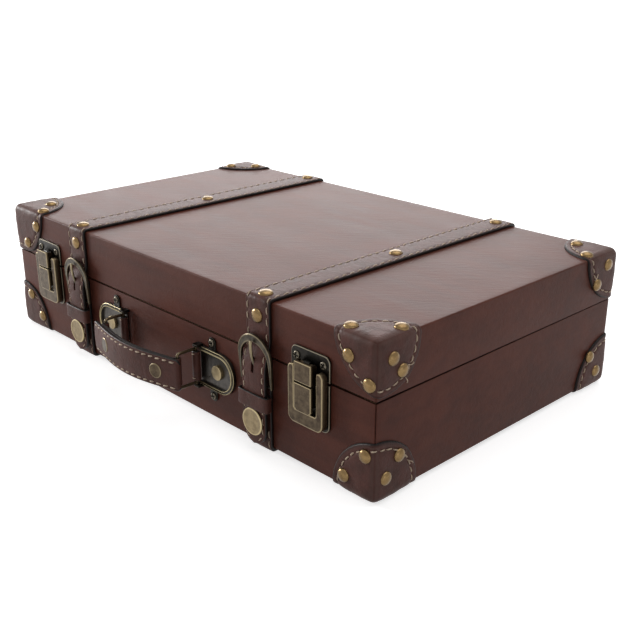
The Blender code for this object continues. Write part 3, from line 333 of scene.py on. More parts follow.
feed(shader, {"Base Color": brown, "Normal": bump})

# Thread: waxed beige polyester. Its twist of under half a millimetre is too fine to
# show and is drawn as 2 mm flecks.
thread, tree, shader, place_of = finish("waxed beige thread", 0.7)
fleck = node(tree, "TexNoise", {"Vector": place_of, "Scale": 500, "Detail": 2})
beige = node(tree, "Mix", {0: fleck, 6: linear("#9c8570"), 7: linear("#e2ccb2")}, data_type="RGBA")
feed(shader, {"Base Color": beige})


def metal(name, deep, high, rubbed, roughness, cloudy=1.0):
    """Plated metal: 4 mm clouds of patina between two colours, rubbed bright where it
    wears, and lighter where a bevel or border is given a painted highlight."""
    made, tree, shader, place_of = finish(name, roughness, metallic=1.0)
    patina = node(tree, "TexNoise", {"Vector": place_of, "Scale": 260, "Detail": 5, "Roughness": 0.65})
    shade = node(tree, "MapRange", {"Value": patina, "From Min": 0.35, "From Max": 0.65})
    colour = node(tree, "Mix", {0: shade, 6: linear(deep), 7: linear(high)}, data_type="RGBA")
    wear_light_or_shade = node(tree, "Attribute", {}, attribute_name="wear_and_painted_light").outputs["Fac"]
    colour = node(tree, "Mix", {0: wear_light_or_shade, 6: colour, 7: linear(rubbed)}, data_type="RGBA")
    dull = node(tree, "MapRange", {"Value": patina, "From Min": 0.3, "From Max": 0.7,
                                   "To Min": roughness + 0.1 * cloudy, "To Max": roughness - 0.08 * cloudy})
    bump = node(tree, "Bump", {"Height": patina, "Strength": 0.15 * cloudy, "Distance": 0.0002})
    feed(shader, {"Base Color": colour, "Roughness": dull, "Normal": bump})
    return made


# Tack brass: stamped brass, lacquered brown, so it is warm and a little cloudy.
tack_brass = metal("lacquered tack brass", "#6b563a", "#7e6847", "#ccba90", 0.27, 0.15)

# The corners' reaches and nails, in millimetres from the case's corner. Two reaches
# go to each face: on its first edge and across it, over the front or back, the end
# and the flat face.
CORNER_REACHES = {
    "lid_front_right": (35.5, 34.0, 35.2, 40.5, 37.5, 36.8),
    "lid_front_left": (45.5, 44.5, 40.5, 38.0, 38.0, 42.0),
    "lid_back_right": (37.5, 38.0, 37.0, 37.5, 38.5, 38.0),
    "lid_back_left": (37.5, 37.0, 36.5, 37.5, 38.0, 37.0),
    "base_front_right": (34.8, 37.0, 40.0, 40.8, 38.0, 36.0),
    "base_front_left": (40.8, 40.2, 37.0, 37.5, 38.0, 39.0),
    "base_back_right": (37.5, 38.0, 38.5, 38.5, 38.0, 37.0),
    "base_back_left": (38.0, 37.5, 38.0, 38.5, 37.5, 37.0),
}
# The nails on the same three faces, each by its distances from the two edges.
PLAIN_TACKS = ((24.8, 9.0), (7.9, 25.9))
CORNER_TACKS = {
    "lid_front_left": (((35.0, 10.4), (17.7, 27.4)), PLAIN_TACKS, ((37.4, 4.7), (22.0, 20.2))),
    "lid_front_right": (((20.2, 12.6), (4.0, 25.9)), ((11.2, 11.5), (19.4, 21.1)),
                        ((25.6, 5.4), (4.5, 24.5))),
    "lid_back_left": (PLAIN_TACKS, PLAIN_TACKS, PLAIN_TACKS),
    "lid_back_right": (PLAIN_TACKS, ((23.8, 20.0), (11.5, 7.7)), ((24.1, 11.9), (5.0, 29.9))),
    "base_front_left": (((14.0, 26.1), (29.9, 10.6)), PLAIN_TACKS, ()),
    "base_front_right": (((5.9, 28.4), (23.0, 9.0)), ((19.1, 24.5), (7.7, 13.5)), ()),
    "base_back_left": (PLAIN_TACKS, PLAIN_TACKS, ()),
    "base_back_right": (PLAIN_TACKS, ((22.5, 24.1), (12.1, 10.1)), ()),
}
# Loose ends of thread: the corner, and where each starts and ends on its side face.
THREAD_ENDS = (
    ("lid_front_right", (23.4, 19.2), (27.6, 18.2)),
    ("lid_front_right", (21.6, 26.2), (22.2, 29.6)),
    ("base_front_right", (27.6, 17.6), (30.6, 15.0)),
    ("lid_back_right", (24.4, 12.0), (29.2, 15.4)),
)


def fold(radius, around, lift):
    """Leather over a cube's corner. A point's polar place about the corner, a quarter
    turn to each face, is laid on the sharp outer corner, then drawn to the rounded
    one and lifted along its normal."""
    axes = np.array([(1, 0, 0), (0, 0, 1), (0, 1, 0), (1, 0, 0)], float)
    face = np.floor(around).astype(int) % 3
    angle = (around - np.floor(around)) * np.pi / 2
    sharp = -LEATHER_STAND + radius[..., None] * (np.cos(angle)[..., None] * axes[face]
                                                  + np.sin(angle)[..., None] * axes[face + 1])
    core = np.maximum(sharp, LEATHER_ROUND - LEATHER_STAND)
    normal = sharp - core
    normal /= np.linalg.norm(normal, axis=-1, keepdims=True)
    return core + (LEATHER_ROUND + lift)[..., None] * normal, normal


def tack_points(centre, normal, radius=0.0046, height=0.0024, rounds=20, rings=7):
    """Domed heads: circles whose radius and height follow a quarter turn's cosine and
    sine, each closed by a tip and a flat underside."""
    rise = np.linspace(0, np.pi / 2, rings)[:-1]
    size = np.concatenate([[radius, radius], radius * np.cos(rise[1:])])
    level = np.concatenate([[-0.0006, 0.0001], 0.0001 + height * np.sin(rise[1:])])
    angle = np.linspace(0, 2 * np.pi, rounds, endpoint=False)
    other = np.where(np.abs(normal[:, 2:3]) > 0.7, [[1.0, 0, 0]], [[0, 0, 1.0]])
    u = np.cross(normal, other)
    u /= np.linalg.norm(u, axis=1, keepdims=True)
    v = np.cross(normal, u)
    circle = u[:, None] * np.cos(angle)[None, :, None] + v[:, None] * np.sin(angle)[None, :, None]
    rows = (centre[:, None, None] + circle[:, None] * size[None, :, None, None]
            + normal[:, None, None] * level[None, :, None, None])
    count = len(size) * rounds
    tips = centre + normal * (0.0001 + height)
    points = np.concatenate([rows.reshape(len(centre), -1, 3), tips[:, None]], 1)
    pattern = grid_faces(len(size), rounds) + [list(range(rounds))]
    pattern += [[count - rounds + k, count - rounds + (k + 1) % rounds, count] for k in range(rounds)]
    faces = [[i + n * (count + 1) for i in f] for n in range(len(centre)) for f in pattern]
    return points.reshape(-1, 3), faces


def sewn(runs, pitch=0.0061, length=0.0052, wide=0.00052, proud=0.00038, lean=0.1):
    """Saddle stitches: spindles one after another along each run, each leaning across it
    by its own amount, its middle standing out along the surface normal and its ends
    dipping into their holes."""
    points, faces, first = [], [], 0
    chance = np.random.default_rng(5)
    along = np.linspace(-1, 1, 5)
    round_ = np.linspace(0, 2 * np.pi, 6, endpoint=False)
    for path, normals in runs:
        gone = np.concatenate([[0], np.cumsum(np.linalg.norm(np.diff(path, axis=0), axis=1))])
        count = max(int(gone[-1] / pitch), 1)
        start = (gone[-1] - count * pitch) / 2 + pitch / 2
        own = length * chance.uniform(0.88, 1.08, (count, 1))
        at = start + pitch * np.arange(count)[:, None] + along[None] * own / 2
        centre = np.stack([np.interp(at, gone, path[:, k]) for k in range(3)], -1)
        normal = np.stack([np.interp(at, gone, normals[:, k]) for k in range(3)], -1)
        normal /= np.linalg.norm(normal, axis=-1, keepdims=True)
        side = np.cross(normal, np.gradient(centre, axis=1))
        side /= np.linalg.norm(side, axis=-1, keepdims=True)
        across = (own * along[None] / 2 * (lean + chance.uniform(-0.07, 0.07, (count, 1)))
                  + chance.uniform(-0.00012, 0.00012, (count, 1)))
        centre = centre + side * across[..., None] + normal * (proud * (1 - 2.1 * along ** 4))[None, :, None]
        swell = np.sqrt(1.06 - along ** 2)[None, :, None, None]
        ring = side[:, :, None] * np.cos(round_)[:, None] + normal[:, :, None] * np.sin(round_)[:, None] * 0.8
        points.append((centre[:, :, None] + ring * wide * swell).reshape(-1, 3))
        faces += [[i + first + n * 30 for i in f] for n in range(count) for f in capped(5, 6)]
        first += count * 30
    return np.concatenate(points), faces


def rod(path, radius, rounds=12, broad=1.0, ring=False):
    """A wire: circles across a path, some broader one way, with both ends closed, or
    with the last circle joined to the first where the path is a ring."""
    path = np.asarray(path, float)
    ahead = np.roll(path, -1, 0) - np.roll(path, 1, 0) if ring else np.gradient(path, axis=0)
    ahead /= np.linalg.norm(ahead, axis=1, keepdims=True)
    flat_way = np.eye(3)[np.argmin(np.ptp(path, axis=0))]
    u = np.cross(ahead, flat_way)
    u /= np.linalg.norm(u, axis=1, keepdims=True)
    v = np.cross(ahead, u)
    angle = np.linspace(0, 2 * np.pi, rounds, endpoint=False)
    radius = np.broadcast_to(radius, len(path))[:, None, None]
    broad = np.broadcast_to(broad, len(path))[:, None, None]
    circle = u[:, None] * np.cos(angle)[None, :, None] + v[:, None] * np.sin(angle)[None, :, None] * broad
    faces = grid_faces(len(path), rounds, tube=True) if ring else capped(len(path), rounds)
    return (path[:, None] + circle * radius).reshape(-1, 3), faces


def joined(*meshes):
    """Several closed shells as one list of points and faces."""
    points, faces, first = [], [], 0
    for shell_points, shell_faces in meshes:
        shell_points = np.asarray(shell_points).reshape(-1, 3)
        points.append(shell_points)
        faces += [[i + first for i in face] for face in shell_faces]
        first += len(shell_points)
    return np.concatenate(points), faces


def corner_frame(name):
    """The case's corner under a leather corner, and the signs of its inward axes."""
    far = np.array([name.endswith("right"), "back" in name, name.startswith("lid")])
    low, high = CUBE[name.split("_")[0]]
    return np.where(far, high, low), np.where(far, -1, 1)


def patch_reach(name, around):
    """The patch's radius at a turn, between its measured reaches, and cut off where the
    lid or the base ends."""
    reaches = CORNER_REACHES[name]
    wide = np.interp(around, np.arange(7) / 2, np.array([*reaches, reaches[0]]) / 1000)
    low, high = CUBE[name.split("_")[0]]
    angle = (around - np.floor(around)) * np.pi / 2
    face = np.floor(around).astype(int) % 3
    drop = np.where(face == 0, np.sin(angle), np.where(face == 1, np.cos(angle), 0.01))
    return np.minimum(wide, (high.z - low.z - 0.0004 + LEATHER_STAND) / np.maximum(drop, 0.01))


tacks = {"lid": [[], []], "base": [[], []]}
sewing = {"lid": [], "base": []}
for number, name in enumerate(CORNER_REACHES):
    body = name.split("_")[0]
    home, inward = corner_frame(name)
    nails = []
    for face, pairs in enumerate(CORNER_TACKS[name]):
        for a, b in pairs:
            spot = {0: (a, None, b), 1: (None, a, b), 2: (a, b, None)}[face]
            out = np.array([0.0 if s is not None else -1.0 for s in spot])
            nails.append(np.array([-LEATHER_STAND - 0.0001 if s is None else s / 1000 for s in spot]))
            tacks[body][0].append(home + inward * nails[-1])
            tacks[body][1].append(inward * out)

    # The columns crowd towards the three folds. The rows go out over the faces, across
    # the stitches' groove, round the lip, and back underneath.
    turns = np.linspace(0, 1, 19)
    part = (turns - 0.93 * np.sin(2 * np.pi * turns) / (2 * np.pi))[:-1]
    around = np.concatenate([k + part for k in range(3)])
    wide = patch_reach(name, around)
    share = np.concatenate([np.linspace(0.02, 0.2, 6), np.linspace(0.25, 0.8, 10)])
    near = wide[None] * share[:, None]
    edge = wide[None] - np.array([SEW_INSET + 0.0012, SEW_INSET + 0.0005, SEW_INSET, SEW_INSET - 0.0005,
                                  SEW_INSET - 0.0012, 0.0030, 0.0022])[:, None]
    lip = np.linspace(0, np.pi / 2, 6)
    rim = wide[None] - LIP_ROUND * (1 - np.sin(lip))[:, None]
    under = wide[None] * np.array([0.94, 0.5, 0.02])[:, None]
    radius = np.concatenate([near, edge, rim, under])
    top_rows = len(near) + len(edge) + len(rim)

    # The leather swells inside its seam, sinks along the stitches and under each nail,
    # waves a little all over, and rolls down to the case at its lip.
    seam = wide[None] - SEW_INSET
    lift = np.zeros_like(radius)
    lift[:top_rows] += 0.0006 * np.sin(np.pi * np.clip(radius[:top_rows] / seam, 0, 1)) ** 0.7
    lift[:top_rows] -= 0.00045 * np.exp(-((radius[:top_rows] - seam) / 0.0007) ** 2)
    flat_points, _ = fold(radius, np.broadcast_to(around, radius.shape), np.zeros_like(radius))
    away = np.linalg.norm(flat_points[:, :, None] - np.array(nails)[None, None], axis=-1)
    lift[:top_rows] -= 0.0003 * np.exp(-(away / 0.006) ** 2).sum(-1)[:top_rows]
    wave = (np.sin(flat_points @ (310, 190, 260) + number)
            * np.sin(flat_points @ (-170, 420, 350) + 2 * number))
    lift[:top_rows] += (0.00016 * wave * np.clip(radius / 0.012, 0, 1))[:top_rows]
    lift[len(near) + len(edge):top_rows] -= (LEATHER_STAND - 0.0001) * (1 - np.cos(lip))[:, None]
    lift[top_rows:] = -LEATHER_STAND + 0.0001
    points, _ = fold(radius, np.broadcast_to(around, radius.shape), lift)
    rows, columns = radius.shape
    tips, _ = fold(np.zeros(2), np.full(2, 0.5), np.array([0, 0.0001 - LEATHER_STAND]))
    points = np.concatenate([points.reshape(-1, 3), tips])
    last = rows * columns
    faces = grid_faces(rows, columns)
    faces += [[k, (k + 1) % columns, last] for k in range(columns)]
    faces += [[last - columns + k, last - columns + (k + 1) % columns, last + 1] for k in range(columns)]

    # It is rubbed along its folds, and painted lighter there as a highlight too. Its cut
    # edge is darkened with ink, and its lip, where it rolls down to the case, with
    # painted shade as well.
    crest = np.minimum(around % 1, 1 - around % 1) * np.pi / 2
    rub_and_painted_light = np.exp(-((radius * np.sin(crest)[None] - 0.002) / 0.0017) ** 2) * 0.3
    rub_and_painted_light[top_rows - 4:] = -1.0
    rub_and_painted_light[top_rows - 6:top_rows - 4] = -0.5
    piece(name + "_leather", body, home + inward * points, faces, [leather], "leather",
          wear_and_painted_light=np.concatenate([rub_and_painted_light.ravel(), [0.2, -1]]), hides=[name], crease=60)
    sweep = np.linspace(0, 3, 130)
    line, normal = fold(patch_reach(name, sweep % 3) - SEW_INSET, sweep % 3, np.full(130, -0.0003))
    keep = slice(None) if body == "lid" else slice(1, 87)  # no stitches under the base
    sewing[body].append((home + inward * line[keep], inward * normal[keep]))

for body in ("lid", "base"):
    loose = []
    for name, start, end in THREAD_ENDS:
        if name.startswith(body):
            home, inward = corner_frame(name)
            tail = np.linspace(0, 1, 5)[:, None]
            way = np.array(start) * (1 - tail) + np.array(end) * tail + np.sin(3 * tail) * (0.5, 0.3)
            out = -0.0022 - 0.0012 * np.sin(2.6 * tail)
            loose.append(rod(home + inward * np.column_stack([out[:, 0], way / 1000]), 0.0003, 6))
    piece("corner_stitching_" + body, body, *joined(sewn(sewing[body]), *loose), [thread], "leather")
    piece("corner_tacks_" + body, body, *tack_points(*np.array(tacks[body])), [tack_brass], "brass")


# The straps. Two bands of the same leather go over the lid from its front to its
# back, and two more go under the base. Sewn along both edges and riveted down.
STRAP_X = (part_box("belt_tongue_left")[0].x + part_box("belt_tongue_left")[1].x) / 2
STRAP_HALF = 0.011
STRAP_THICK = 0.0024
STRAP_GAP = 0.0003
STRAP_SEW = 0.0092
STRAP_STITCH = (0.0073, 0.0061, 0.00042)  # pitch, length and half the thread's width
RIVET_RADIUS, RIVET_HEIGHT = 0.0049, 0.0021
FLEX_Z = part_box("belt_tongue_left")[1].z

# Edge paint: the straps' cut edges, painted black and polished, uneven over 2 mm.
# It also covers their rounded shoulders, where the black is painted shade.
edge_paint_and_shade, tree, shader, place_of = finish("black edge paint and painted shade", 0.45, Specular_IOR_Level=0.25)
rough = node(tree, "TexNoise", {"Vector": place_of, "Scale": 500, "Detail": 3})
black = node(tree, "Mix", {0: rough, 6: linear("#0c0908"), 7: linear("#1d1715")}, data_type="RGBA")
bump = node(tree, "Bump", {"Height": rough, "Strength": 0.4, "Distance": 0.0002})
feed(shader, {"Base Color": black, "Normal": bump})


def strap_section(half=STRAP_HALF, thick=STRAP_THICK, sew=STRAP_SEW, crown=0.0002, lip=0.0007):
    """A band's outline: flat back, upright cut edges, rounded shoulders, and a low crown
    with a hollow pressed along each line of stitches."""
    bend = np.linspace(0, np.pi / 2, 4)
    q = np.concatenate([np.linspace(-half + lip, -sew - 0.0008, 2), -sew + np.linspace(-0.0005, 0.0005, 3),
                        np.linspace(-sew + 0.0009, sew - 0.0009, 7), sew + np.linspace(-0.0005, 0.0005, 3),
                        np.linspace(sew + 0.0008, half - lip, 2)])
    edge = thick - 0.0002
    top = edge + crown * (1 - (q / half) ** 2) - 0.0003 * np.exp(-((np.abs(q) - sew) / 0.0005) ** 2)
    left = np.column_stack([-half + lip * (1 - np.cos(bend)), edge - lip * (1 - np.sin(bend))])
    outline = np.concatenate([[(-half + 0.0002, 0), (-half, 0.0003)], left[:-1], np.column_stack([q, top]),
                              (left[:-1] * (-1, 1))[::-1], [(half, 0.0003), (half - 0.0002, 0)]])
    # The cut edges and the rounded shoulders take the edge paint; on the shoulders its black is painted
    # shade.
    cut = np.zeros(len(outline), int)
    cut[:4] = 1
    cut[-5:-1] = 1
    return outline, cut


def band(centre, across, outward, outline):
    """The outline carried along a path, its first number across and its second outward."""
    outline = np.broadcast_to(outline, (len(centre), *outline.shape[-2:]))
    return centre[:, None] + across[:, None] * outline[..., :1] + outward[:, None] * outline[..., 1:]


def wrap(x, low, high, flat, way, start, end):
    """A path up the front from start, round the edge, along the flat, and down the back
    to the end, with quarter circles at the edges, and its outward normals."""
    bend = np.linspace(0, np.pi / 2, 7)
    r = COVER_ROUND
    y = np.concatenate([[low.y] * 3, low.y + r - r * np.cos(bend),
                        np.linspace(low.y + 0.01, high.y - 0.01, 24),
                        high.y - r + r * np.sin(bend), [high.y] * 3])
    z = np.concatenate([np.linspace(start, flat - way * r * 1.5, 3), flat - way * r * (1 - np.sin(bend)),
                        np.full(24, flat), flat - way * r * (1 - np.cos(bend)),
                        np.linspace(flat - way * r * 1.5, end, 3)])
    ny = np.concatenate([[-1] * 3, -np.cos(bend), np.zeros(24), np.sin(bend), [1] * 3])
    nz = np.concatenate([[0] * 3, np.sin(bend), np.ones(24), np.cos(bend), [0] * 3]) * way
    normal = np.column_stack([np.zeros(len(y)), ny, nz])
    return np.column_stack([np.full(len(y), x), y, z]) + normal * STRAP_GAP, normal


section, cut = strap_section()
runs = {"lid": [], "base": []}
rivets = {"lid": [[], []], "base": [[], []]}
for side, x in (("left", STRAP_X), ("right", -STRAP_X)):
    for body, flat, way, start, end in (
        ("lid", lid_high.z, 1, FLEX_Z + 0.00003, lid_low.z + 0.002),
        ("base", base_low.z, -1, base_high.z - 0.002, base_high.z - 0.002),
    ):
        low, high = CUBE[body]
        centre, normal = wrap(x, low, high, flat, way, start, end)
        across = np.tile([1.0, 0, 0], (len(centre), 1))
        kinds = np.concatenate([np.tile(cut, len(centre) - 1), [0, 1]])
        piece(f"{body}_strap_leather_{side}", body, band(centre, across, normal, section),
              capped(len(centre), len(section)), [leather, edge_paint_and_shade], "leather", kinds,
              hides=[f"{body}_strap_{side}"], crease=60)
        if body == "base":  # the belt hides its front, which is sewn at its foot only
            centre[:2, 2] = base_low.z + 0.016, base_low.z + 0.008
        for q in (-STRAP_SEW, STRAP_SEW):
            depth = STRAP_THICK - 0.0003 - 0.0004 * np.maximum(-normal[:, 2:], 0)
            runs[body].append((centre + across * q + normal * depth, normal))
        stand = STRAP_GAP + STRAP_THICK
        if body == "lid":
            spots = [((x, y, flat + stand), (0, 0, 1))
                     for y in (low.y + 0.0048, (low.y + high.y) / 2, high.y - 0.0085)]
            spots += [((x, low.y - stand, flat - 0.0102), (0, -1, 0)),
                      ((x, high.y + stand, low.z + 0.013), (0, 1, 0))]
        else:
            spots = [((x, high.y + stand, high.z - 0.013), (0, 1, 0))]
        for spot, outwards in spots:
            rivets[body][0].append(spot)
            rivets[body][1].append(outwards)
for body in ("lid", "base"):
    piece("strap_stitching_" + body, body, *sewn(runs[body], *STRAP_STITCH), [thread], "leather")
    centres, normals = np.array(rivets[body], float)
    piece("strap_rivets_" + body, body, *tack_points(centres, normals, RIVET_RADIUS, RIVET_HEIGHT),
          [tack_brass], "brass")


# The belts. Each is a sewn tongue that hangs from the strap's end, passes behind
# a horseshoe buckle and through a leather keeper, and snaps shut on a stud.
UNDERSIDE = base_low.z
FLEX_UP = FLEX_Z - UNDERSIDE
BELT_BEND = (0.076, 0.054)
BELT_OUT = 0.005
BELT_TIP = 0.003
TIP_SEW_RADIUS = 0.0088
BELT_STITCH = (0.0071, 0.0059, 0.00042)
TIP_MIDDLE = BELT_TIP + STRAP_HALF
HEEL_OUT, HEEL_UP = 0.0039, 0.0452
BUCKLE_FOOT, BUCKLE_TOP, BUCKLE_TOP_OUT = 0.0439, 0.0783, 0.00634
BUCKLE_ARCH, BUCKLE_HALF = 0.0626, 0.0157
OPENING_ARCH, OPENING_HALF = 0.0601, 0.0130
SLOT_UP, SLOT_HALF_WIDTH, SLOT_HALF_LENGTH = 0.0578, 0.0013, 0.004
KEEPER_HALF = 0.0142
CAP_UP = 0.0187

# Bronze plate: the buckle's cast zinc, plated and blackened, with rubbed rims that
# carry a painted highlight too.
# Snap brass: a pressed brass disc, brushed and lightly browned.
bronze = metal("blackened bronze plate", "#342f29", "#4b453b", "#a89877", 0.36)
snap_brass = metal("brushed antique brass", "#75674f", "#8c7c5f", "#c3b28b", 0.4)


def front_place(x, out, up):
    """x, distance out of the front face and height over the case's underside, in the world."""
    x, out, up = np.broadcast_arrays(np.asarray(x, float), out, up)
    return np.stack([x, base_low.y - out, UNDERSIDE + up], -1)


def belt_back(up):
    """How far the belt's back stands out: a smooth step over its bend, three times the
    square less twice the cube."""
    share = np.clip((BELT_BEND[0] - up) / (BELT_BEND[0] - BELT_BEND[1]), 0, 1)
    return STRAP_GAP + (BELT_OUT - STRAP_GAP) * share * share * (3 - 2 * share)


def spun(centre, axis, profile, rounds=40, bored=False):
    """A profile of radius and height carried round an axis, closed at both ends or,
    where it is bored, round on itself."""
    angle = np.linspace(0, 2 * np.pi, rounds, endpoint=False)
    axis = np.array(axis, float)
    u = np.cross(axis, [0, 0, 1.0] if abs(axis[2]) < 0.9 else [0, 1.0, 0])
    u /= np.linalg.norm(u)
    v = np.cross(axis, u)
    ring = u * np.cos(angle)[:, None] + v * np.sin(angle)[:, None]
    profile = np.array(profile)
    points = np.array(centre) + ring[None] * profile[:, None, :1] + axis * profile[:, None, 1:]
    faces = grid_faces(len(profile), rounds, tube=True) if bored else capped(len(profile), rounds)
    return points.reshape(-1, 3), faces


def assembled(name, body, shells, finishes, slot, hides=(), crease=30):
    """Closed shells as one piece. Each has its points, its faces and its mark of rubbing
    and painted highlight, and the number of its finish where that isn't the first."""
    points, faces = joined(*[shell[:2] for shell in shells])
    wear_and_painted_light = np.concatenate([np.broadcast_to(shell[2], len(shell[0])) for shell in shells])
    kinds = np.concatenate([np.full(len(shell[1]), (*shell, 0)[3]) for shell in shells])
    return piece(name, body, points, faces, finishes, slot, kinds, wear_and_painted_light, hides, crease)


def cut_out(made, points, faces):
    """Takes a closed shape out of a piece's mesh."""
    mesh = bpy.data.meshes.new("cutter")
    mesh.from_pydata(np.asarray(points).reshape(-1, 3).tolist(), [], faces)
    face_outwards(mesh)
    cutter = bpy.data.objects.new("cutter", mesh)
    bpy.context.collection.objects.link(cutter)
    step = made.modifiers.new("cut", "BOOLEAN")
    step.operation = "DIFFERENCE"
    step.solver = "EXACT"
    step.object = cutter
    bpy.context.view_layer.update()
    result = bpy.data.meshes.new_from_object(made.evaluated_get(bpy.context.evaluated_depsgraph_get()))
    made.modifiers.remove(step)
    made.data = result
    bpy.data.objects.remove(cutter)


for side, x in (("left", STRAP_X), ("right", -STRAP_X)):
    body = "belt_" + side
    up = np.concatenate([[FLEX_UP, (FLEX_UP + BELT_BEND[0]) / 2], np.linspace(*BELT_BEND, 14),
                         np.linspace(0.05, TIP_MIDDLE, 8)])
    curl = np.linspace(0, np.pi / 2, 10)[1:]
    straight = len(up)
    up = np.concatenate([up, BELT_TIP + STRAP_HALF * (1 - np.sin(curl))])
    width = np.concatenate([np.ones(straight), np.maximum(np.cos(curl), 0.03)])
    ahead = np.gradient(np.column_stack([belt_back(up), up]), axis=0)
    ahead /= np.linalg.norm(ahead, axis=1, keepdims=True)
    normal = np.column_stack([np.zeros(len(up)), ahead[:, 1], ahead[:, 0]])
    across = np.tile([1.0, 0, 0], (len(up), 1))
    section, cut = strap_section(crown=0.0006)
    low_crown, _ = strap_section(crown=0.00026)
    grow = np.clip((FLEX_UP - up) / 0.014, 0, 1)[:, None, None]
    shaped = (low_crown * (1 - grow) + section * grow) * np.stack([width, np.ones(len(up))], -1)[:, None]
    kinds = np.concatenate([np.tile(cut, len(up) - 1), [0, 1]])
    points = band(front_place(x, belt_back(up), up), across, normal, shaped)
    tongue = piece("tongue_leather_" + side, body, points, capped(len(up), len(section)),
                   [leather, edge_paint_and_shade], "leather", kinds, hides=["belt_tongue_" + side], crease=60)
    around = np.linspace(0, 2 * np.pi, 17)[:-1]
    slot_up = (SLOT_UP + SLOT_HALF_WIDTH * np.sin(around)
               + SLOT_HALF_LENGTH * np.sign(np.sin(around + 0.001)))
    slot = np.stack([front_place(x + SLOT_HALF_WIDTH * np.cos(around), out, slot_up)
                     for out in (-0.001, 0.012)])
    cut_out(tongue, slot, capped(2, 16))
    run_up = np.concatenate([up[:straight], TIP_MIDDLE - TIP_SEW_RADIUS * np.sin(curl)])
    run_x = np.concatenate([np.full(straight, TIP_SEW_RADIUS), TIP_SEW_RADIUS * np.cos(curl)])
    step = np.gradient(np.column_stack([belt_back(run_up), run_up]), axis=0)
    step /= np.linalg.norm(step, axis=1, keepdims=True)
    lines = [(front_place(x + q * run_x, belt_back(run_up) + STRAP_THICK - 0.0002, run_up),
              np.column_stack([step[:, 0] * 0, step[:, 1], step[:, 0]])) for q in (-1, 1)]
    piece("tongue_stitching_" + side, body, *sewn(lines, *BELT_STITCH), [thread], "leather")

    # The buckle is a cast horseshoe, thinner down its legs, with raised borders.
    arc = np.linspace(0, np.pi, 31)
    leg = np.linspace(0, 1, 8)[:-1]
    round_arc = np.column_stack([np.cos(arc), np.sin(arc)])
    outer = np.column_stack([0.0149 + 0.0008 * leg, BUCKLE_FOOT + (BUCKLE_ARCH - BUCKLE_FOOT) * leg])
    inner = np.column_stack([0.0139 - 0.0009 * leg ** 0.7, BUCKLE_FOOT + (OPENING_ARCH - BUCKLE_FOOT) * leg])
    outer = np.concatenate([outer, BUCKLE_HALF * round_arc + (0, BUCKLE_ARCH), (outer * (-1, 1))[::-1]])
    inner = np.concatenate([inner, OPENING_HALF * round_arc + (0, OPENING_ARCH), (inner * (-1, 1))[::-1]])
    width = np.array([0, 0, 0.05, 0.13, 0.22, 0.5, 0.78, 0.87, 0.95, 1, 1])
    level = np.array([-1.05, 0.6, 0.85, 0.9, 0.78, 0.75, 0.78, 0.9, 0.85, 0.6, -1.05]) / 1000
    # The borders' shoulders are lightened: rubbed, and lit with a painted highlight.
    rub_and_highlight = np.array([0, 0.2, 0.55, 0.4, 0, 0, 0, 0.4, 0.55, 0.2, 0])
    plan = outer[:, None] * (1 - width)[None, :, None] + inner[:, None] * width[None, :, None]
    lean = HEEL_OUT + (BUCKLE_TOP_OUT - HEEL_OUT) * (plan[..., 1] - HEEL_UP) / (BUCKLE_TOP - HEEL_UP)
    points = front_place(x + plan[..., 0], lean + level[None], plan[..., 1]).reshape(-1, 3)
    horseshoe = (points, capped(len(plan), len(width)), np.tile(rub_and_highlight * 0.6, len(plan)))
    heel = rod(front_place(np.linspace(x - 0.0144, x + 0.0144, 5), HEEL_OUT, HEEL_UP), 0.0008)
    assembled("buckle_frame_" + side, body, [horseshoe, (*heel, 0)], [bronze], "dark_brass",
              ["buckle_" + side], 40)

    # The prong is a wire, flattened where it lies on the arch and filed to its slot.
    knots = np.array([(0.0039, 0.0472), (0.0039, 0.0505), (0.0041, 0.0533), (0.0062, 0.0587),
                      (0.0077, 0.0632), (0.0084, 0.0680), (0.0086, 0.0718), (0.0084, 0.0746)])
    share = np.linspace(0, len(knots) - 1, 29)
    smooth = np.column_stack([np.interp(share, np.arange(len(knots)), knots[:, k]) for k in range(2)])
    smooth[1:-1] = (smooth[:-2] + 2 * smooth[1:-1] + smooth[2:]) / 4
    thin = np.interp(share, [0, 3, 6.6, 7], [0.0008, 0.0009, 0.0009, 0.0006])
    broad = np.interp(share, [3, 5, 6.5], [1.1, 1.4, 1.6])
    prong = rod(front_place(x, smooth[:, 0], smooth[:, 1]), thin, broad=broad)
    assembled("prong_wire_" + side, body, [(*prong, np.repeat(np.interp(share, [3, 5], [0.1, 0.45]), 12))],
              [bronze], "dark_brass", ["prong_" + side], 60)

    # The keeper is a loop of leather, its front pushed out by the tongue inside.
    angle = np.linspace(0, 2 * np.pi, 48, endpoint=False)
    loop = np.stack([np.sign(wave) * np.abs(wave) ** 0.42 for wave in (np.cos(angle), np.sin(angle))], -1)
    wall = np.array([(1.6, 28.6), (1.6, 38.6), (1.2, 38.9), (0.4, 38.9), (0, 38.6), (-0.1, 37.4),
                     (0.1, 33.6), (-0.1, 29.8), (0, 28.6), (0.4, 28.3), (1.2, 28.3)]) / 1000
    deep = (STRAP_THICK + 0.0039) / 2 - wall[:, :1]
    rows = front_place(x + loop[None, :, 0] * (KEEPER_HALF - wall[:, :1]),
                       BELT_OUT + STRAP_THICK / 2 + 0.00005 + loop[None, :, 1] * deep, wall[:, 1:])
    piece("keeper_loop_" + side, body, rows, grid_faces(len(wall), 48, tube=True), [leather, edge_paint_and_shade],
          "leather", np.repeat([0, 1, 1, 1, 0, 0, 0, 0, 1, 1, 1], 48), hides=["keeper_" + side], crease=60)

